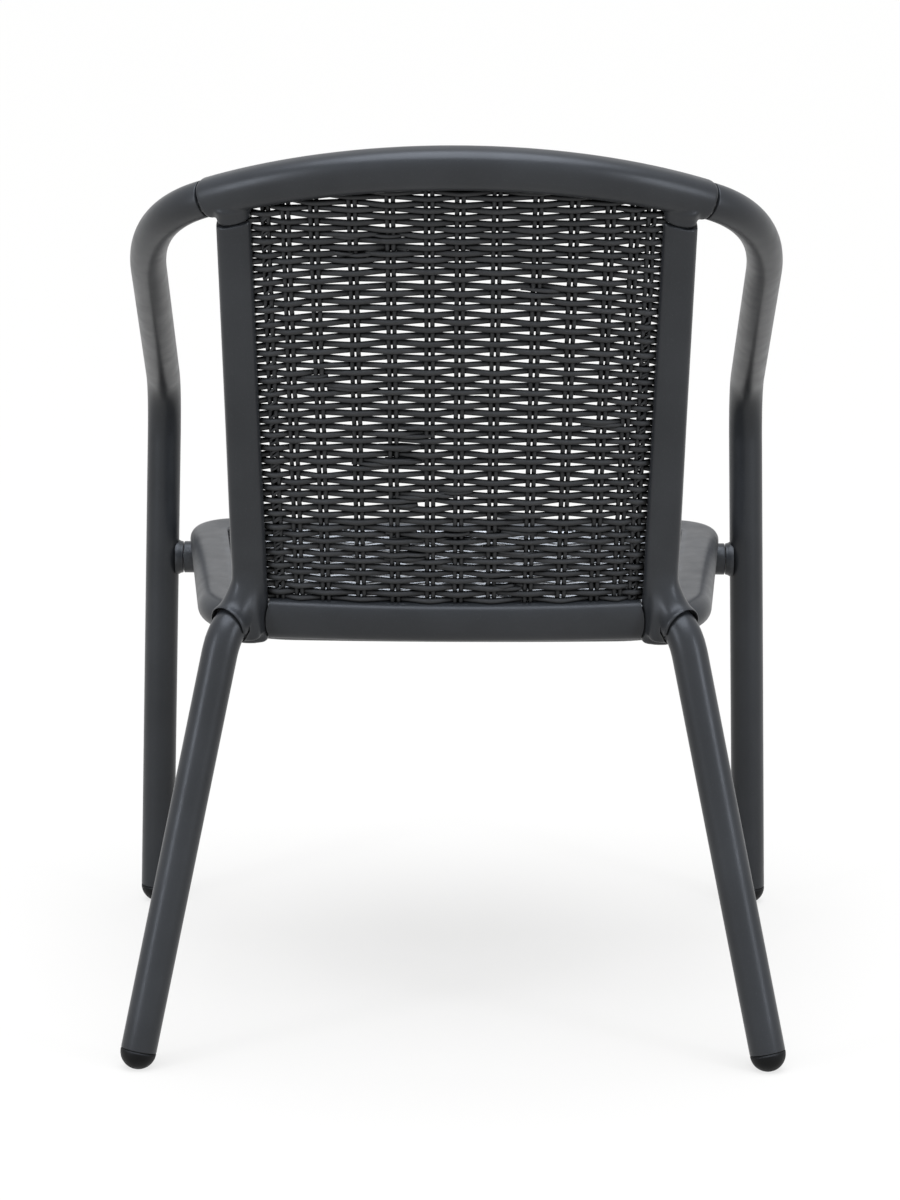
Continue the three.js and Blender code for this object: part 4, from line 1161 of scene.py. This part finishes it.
def row_up(row, across):
    """Share of the panel's height at which a row of the weave runs: arched, and flatter near the rail."""
    share = row / BACK_ROWS
    level = share * (1 - BACK_ROW_EASE) + BACK_ROW_EASE * share * share
    low_edge = back_low(1).z
    top_edge = back_top(1).z
    rise = level if level < ROW_CREST else ROW_CREST - (level - ROW_CREST) * ROW_FALL
    z = mix(low_edge, top_edge, level) + BACK_ROW_RISE * rise * (1 - across * across)
    low_point = back_low(across)
    return (z - low_point.z) / (back_top(across).z - low_point.z)


def last_row(across, limit):
    return max(r for r in range(1, BACK_ROWS + BACK_ROWS_ABOVE) if row_up(r, across) < limit)


def back_wefts():
    strands = []
    stops = [-1] + back_pairs + [1]
    for row in range(1, BACK_ROWS + BACK_ROWS_ABOVE):
        nudge = random.uniform(-ROW_NUDGE, ROW_NUDGE)
        inside = [i for i, s in enumerate(stops) if row_up(row, s) < ROW_LIMIT]
        if not inside:
            continue
        kept = stops[inside[0]:inside[-1] + 1]
        if len(inside) < len(stops):
            reach = find_reach(row)
            kept = [-reach] + [s for s in kept if abs(s) < reach] + [reach]
        lifts = []
        for s in kept:
            index = min(range(len(stops)), key=lambda i: abs(stops[i] - s))
            side = 1 if (index + row) % 2 else -1
            high = WEFT_LIFT if abs(s) < 1 else WEFT_LIFT / 2
            lifts.append(side * high * random.uniform(*LIFT_SPREAD))

        def at(across, lift, aside, row=row, nudge=nudge):
            return back_at(across, row_up(row + nudge, across), lift, aside)

        radius = WEFT_RADIUS * random.uniform(*WEFT_SPREAD)
        strands.append(woven_line(kept, lifts, at, radius, WEFT_STEPS, BACK_DRIFT))
    return strands


def find_reach(row):
    """How far from the middle a row runs before it meets the rail."""
    near, far = 0, 1
    for i in range(HALVINGS):
        middle = (near + far) / 2
        if row_up(row, middle) < 1:
            near = middle
        else:
            far = middle
    return near


def back_warps():
    strands = []
    scale = top_half / low_half
    for number, across in enumerate(back_pairs):
        for hand in (-1, 1):
            shift = hand * PAIR_GAP / 2 / top_half
            rows = list(range(last_row(across, 1) + 2))
            lifts = [WARP_LIFT * (-1 if (number + 1 + row) % 2 else 1) for row in rows]

            def at(row, lift, aside, across=across, shift=shift):
                up = min(row_up(row, across), 1)
                spot = across + shift * mix(scale, 1, up) + aside / top_half
                return back_at(spot, up, lift)

            strands.append(woven_line(rows, lifts, at, WARP_RADIUS, WARP_STEPS, WARP_DRIFT))
    return strands


def edge_wraps():
    """Thin strands wound round the outermost pairs, next to the uprights."""
    strands = []
    for across in (back_pairs[0], back_pairs[-1]):
        last = last_row(across, PANEL_TOP)
        for number in range(WRAPS):
            phase = random.uniform(0, TURN)
            rows_a_turn = random.uniform(*WRAP_ROWS)
            reach = random.uniform(*WRAP_REACH)
            points = []
            for i in range(2, last * WRAP_STEPS):
                angle = phase + TURN * i / WRAP_STEPS / rows_a_turn
                aside = reach * math.cos(angle) + random.uniform(-WRAP_DRIFT, WRAP_DRIFT)
                up = row_up(i / WRAP_STEPS, across)
                points.append(back_at(across + aside / top_half, up, WRAP_LIFT * math.sin(angle)))
            strands.append((points, [WRAP_RADIUS] * len(points)))
    return strands


def strand_tails():
    """Short ends tucked along the rows where a strand was joined."""
    strands = []
    for across, row, spread, rows, count in TAILS:
        for i in range(count):
            start = across + random.uniform(-spread, spread)
            long = random.uniform(*TAIL_LONG) / top_half
            level = row + random.uniform(-rows, rows)
            slope = random.uniform(-TAIL_SLOPE, TAIL_SLOPE)
            side = random.choice((-1, 1, 1))
            points = []
            for k in range(TAIL_STEPS + 1):
                t = k / TAIL_STEPS
                lift = side * (TAIL_LIFT * math.sin(math.pi * min(1, t * TAIL_TURN_IN)) - TAIL_SINK)
                spot = start + long * (t - 0.5)
                up = row_up(level + 0.5 + slope * (t - 0.5), spot)
                points.append(back_at(spot, min(up, PANEL_TOP), lift))
            strands.append((points, [random.uniform(*TAIL_RADIUS)] * len(points)))
    return strands


def make_back_weave():
    strands = back_wefts() + back_warps() + edge_wraps() + strand_tails()
    piece = weave_piece("back_weave_strands", strands)
    dress(piece, back_strand, "woven_strand", "back_weave")


# Seat panel
seat_edge = seat_loop(RIM_WIDE + LEDGE_WIDE / 2, 0)
seat_panel_z = ledge_z + GAP + ROD_RADIUS


def seat_span(value, axis):
    """Lowest and highest crossing of the seat's edge with a line at a value of one axis."""
    other = 1 - axis
    found = []
    for a, b in zip(seat_edge, seat_edge[1:] + seat_edge[:1]):
        if (a[axis] - value) * (b[axis] - value) < 0:
            share = (value - a[axis]) / (b[axis] - a[axis])
            found.append(mix(a[other], b[other], share))
    return (min(found), max(found)) if found else None


def seat_at(x, y, lift):
    depth = (y - seat_middle_y) / seat_half_deep
    side = x / seat_rear_x
    sag = SEAT_SAG * max(0, 1 - side * side) * max(0, 1 - depth * depth)
    return Vector((x, y, seat_panel_z - sag + lift))


def over_rod(points, radii, start, end):
    """Carries both ends of a strand up and over the rod at the panel's edge."""
    for here, beyond, first in ((start, toward(end, start), True), (end, toward(start, end), False)):
        up = Vector((0, 0, ROD_RADIUS + radii[0]))
        turn = [here + beyond * out + up * rise for out, rise in OVER_ROD]
        if first:
            points[:0] = reversed(turn)
            radii[:0] = [radii[0]] * len(turn)
        else:
            points += turn
            radii += [radii[-1]] * len(turn)
    return points, radii


def seat_strands():
    wefts = []
    front_y = min(p.y for p in seat_edge)
    deep = max(p.y for p in seat_edge) - front_y
    rows = int(deep / SEAT_ROW_PITCH)
    row_ys = [front_y + deep / rows * row for row in range(rows)]
    widest = max(p.x for p in seat_edge)
    pair_xs = [widest * share for share in PAIR_SHARES]
    for row in range(1, rows):
        y = row_ys[row]
        low_x, high_x = seat_span(y, 1)
        inner = [x for x in pair_xs if low_x + WEFT_CLEAR < x < high_x - WEFT_CLEAR]
        stops = [low_x + STRAND_END] + inner + [high_x - STRAND_END]
        lifts = [0] + [
            WEFT_LIFT * (1 if (pair_xs.index(x) + row) % 2 else -1) * random.uniform(*LIFT_SPREAD)
            for x in inner
        ] + [0]

        def at(x, lift, aside, y=y):
            return seat_at(x, y + aside, lift)

        points, radii = woven_line(stops, lifts, at, WEFT_RADIUS, WEFT_STEPS, SEAT_DRIFT)
        start = Vector((low_x, y, seat_panel_z))
        end = Vector((high_x, y, seat_panel_z))
        wefts.append(over_rod(points, radii, start, end))
    warps = []
    for number, x in enumerate(pair_xs):
        for hand in (-1, 1):
            place_x = x + hand * PAIR_GAP / 2
            low_y, high_y = seat_span(place_x, 0)
            inner = [r for r in range(1, rows) if low_y + WARP_CLEAR < row_ys[r] < high_y - WARP_CLEAR]
            stops = [low_y + STRAND_END] + [row_ys[r] for r in inner] + [high_y - STRAND_END]
            lifts = [0] + [WARP_LIFT * (-1 if (number + r) % 2 else 1) for r in inner] + [0]

            def at(y, lift, aside, place_x=place_x):
                return seat_at(place_x + aside, y, lift)

            points, radii = woven_line(stops, lifts, at, WARP_RADIUS, WARP_STEPS, WARP_DRIFT)
            start = Vector((place_x, low_y, seat_panel_z))
            end = Vector((place_x, high_y, seat_panel_z))
            warps.append(over_rod(points, radii, start, end))
    return wefts + warps


def make_seat_weave():
    piece = weave_piece("seat_weave_strands", seat_strands())
    dress(piece, seat_strand, "woven_strand", "seat_weave")


# Floor, light and camera
def white_to_viewer(tree):
    """Share that is 1 for rays from the camera, from gloss and from glass."""
    path = add_node(tree, "LightPath")
    share = path.outputs["Is Camera Ray"]
    for kind in ("Is Glossy Ray", "Is Transmission Ray"):
        inputs = {0: share, 1: path.outputs[kind]}
        share = add_node(tree, "Math", inputs, operation="MAXIMUM").outputs[0]
    return share


def make_floor():
    bpy.ops.mesh.primitive_plane_add(size=FLOOR_WIDE)
    floor = bpy.context.object
    floor.name = "studio_floor"
    material = bpy.data.materials.new("studio_floor")
    material.use_nodes = True
    tree = material.node_tree
    tree.nodes.clear()
    diffuse = add_node(tree, "BsdfDiffuse", {"Color": FLOOR_COLOUR})
    white = add_node(tree, "Emission")
    inputs = {0: white_to_viewer(tree), 1: FLOOR_WHITE}
    amount = add_node(tree, "Math", inputs, operation="MULTIPLY")
    blend = add_node(tree, "MixShader", {
        0: amount.outputs[0], 1: diffuse.outputs[0], 2: white.outputs[0],
    })
    add_node(tree, "OutputMaterial", {"Surface": blend.outputs[0]})
    floor.data.materials.append(material)
    floor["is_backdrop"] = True


def make_light():
    world = bpy.data.worlds.new("studio")
    scene.world = world
    world.use_nodes = True
    tree = world.node_tree
    light = tree.nodes["Background"]
    light.inputs["Color"].default_value = (1, 1, 1, 1)
    light.inputs["Strength"].default_value = SKY_LIGHT
    white = add_node(tree, "Background", {"Color": (1, 1, 1, 1), "Strength": 1})
    blend = add_node(tree, "MixShader", {
        0: white_to_viewer(tree), 1: light.outputs[0], 2: white.outputs[0],
    })
    tree.links.new(blend.outputs[0], tree.nodes["World Output"].inputs["Surface"])
    for name, spot, wide, tall, power in LAMPS:
        lamp = bpy.data.lights.new(name, "AREA")
        lamp.shape = "RECTANGLE"
        lamp.size = wide
        lamp.size_y = tall
        lamp.energy = power
        lamp.color = LAMP_TINT
        box = linked(name, lamp)
        box.location = spot
        box.rotation_euler = (LAMP_TARGET - spot).to_track_quat("-Z", "Y").to_euler()
    lamp = bpy.data.lights.new("top_light", "SUN")
    lamp.energy = TOP_LIGHT
    lamp.angle = math.radians(TOP_LIGHT_WIDE)
    lamp.color = LAMP_TINT
    linked("top_light", lamp).rotation_euler = (math.radians(TOP_LIGHT_TILT), 0, 0)


def make_camera():
    data = bpy.data.cameras.new("camera")
    data.lens = CAMERA_LENS
    data.sensor_width = CAMERA_SENSOR
    data.clip_end = CAMERA_REACH
    camera = linked("camera", data)
    camera.location = (CAMERA_SPOT + Vector((0, SHIFT_Y, 0))) * MM
    turn = Matrix.Rotation(math.radians(180 + CAMERA_TURN), 4, "Z")
    pitch = Matrix.Rotation(math.radians(90 - CAMERA_PITCH), 4, "X")
    roll = Matrix.Rotation(math.radians(CAMERA_ROLL), 4, "Z")
    camera.rotation_euler = (turn @ pitch @ roll).to_euler()
    scene.camera = camera
    scene.view_settings.view_transform = "Standard"


make_camera()
make_top_rail()
make_uprights()
make_cross_rail()
make_rear_legs()
make_arms()
make_foot_caps()
make_seat_ring()
make_supports()
make_back_weave()
make_seat_weave()
for cad_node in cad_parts.values():
    if not cad_node.hide_render:
        cad_node.data.materials.clear()
        cad_node.data.materials.append(steel)
make_floor()
make_light()

[[list(corner) for corner in box] for box in (cad_box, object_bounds())]
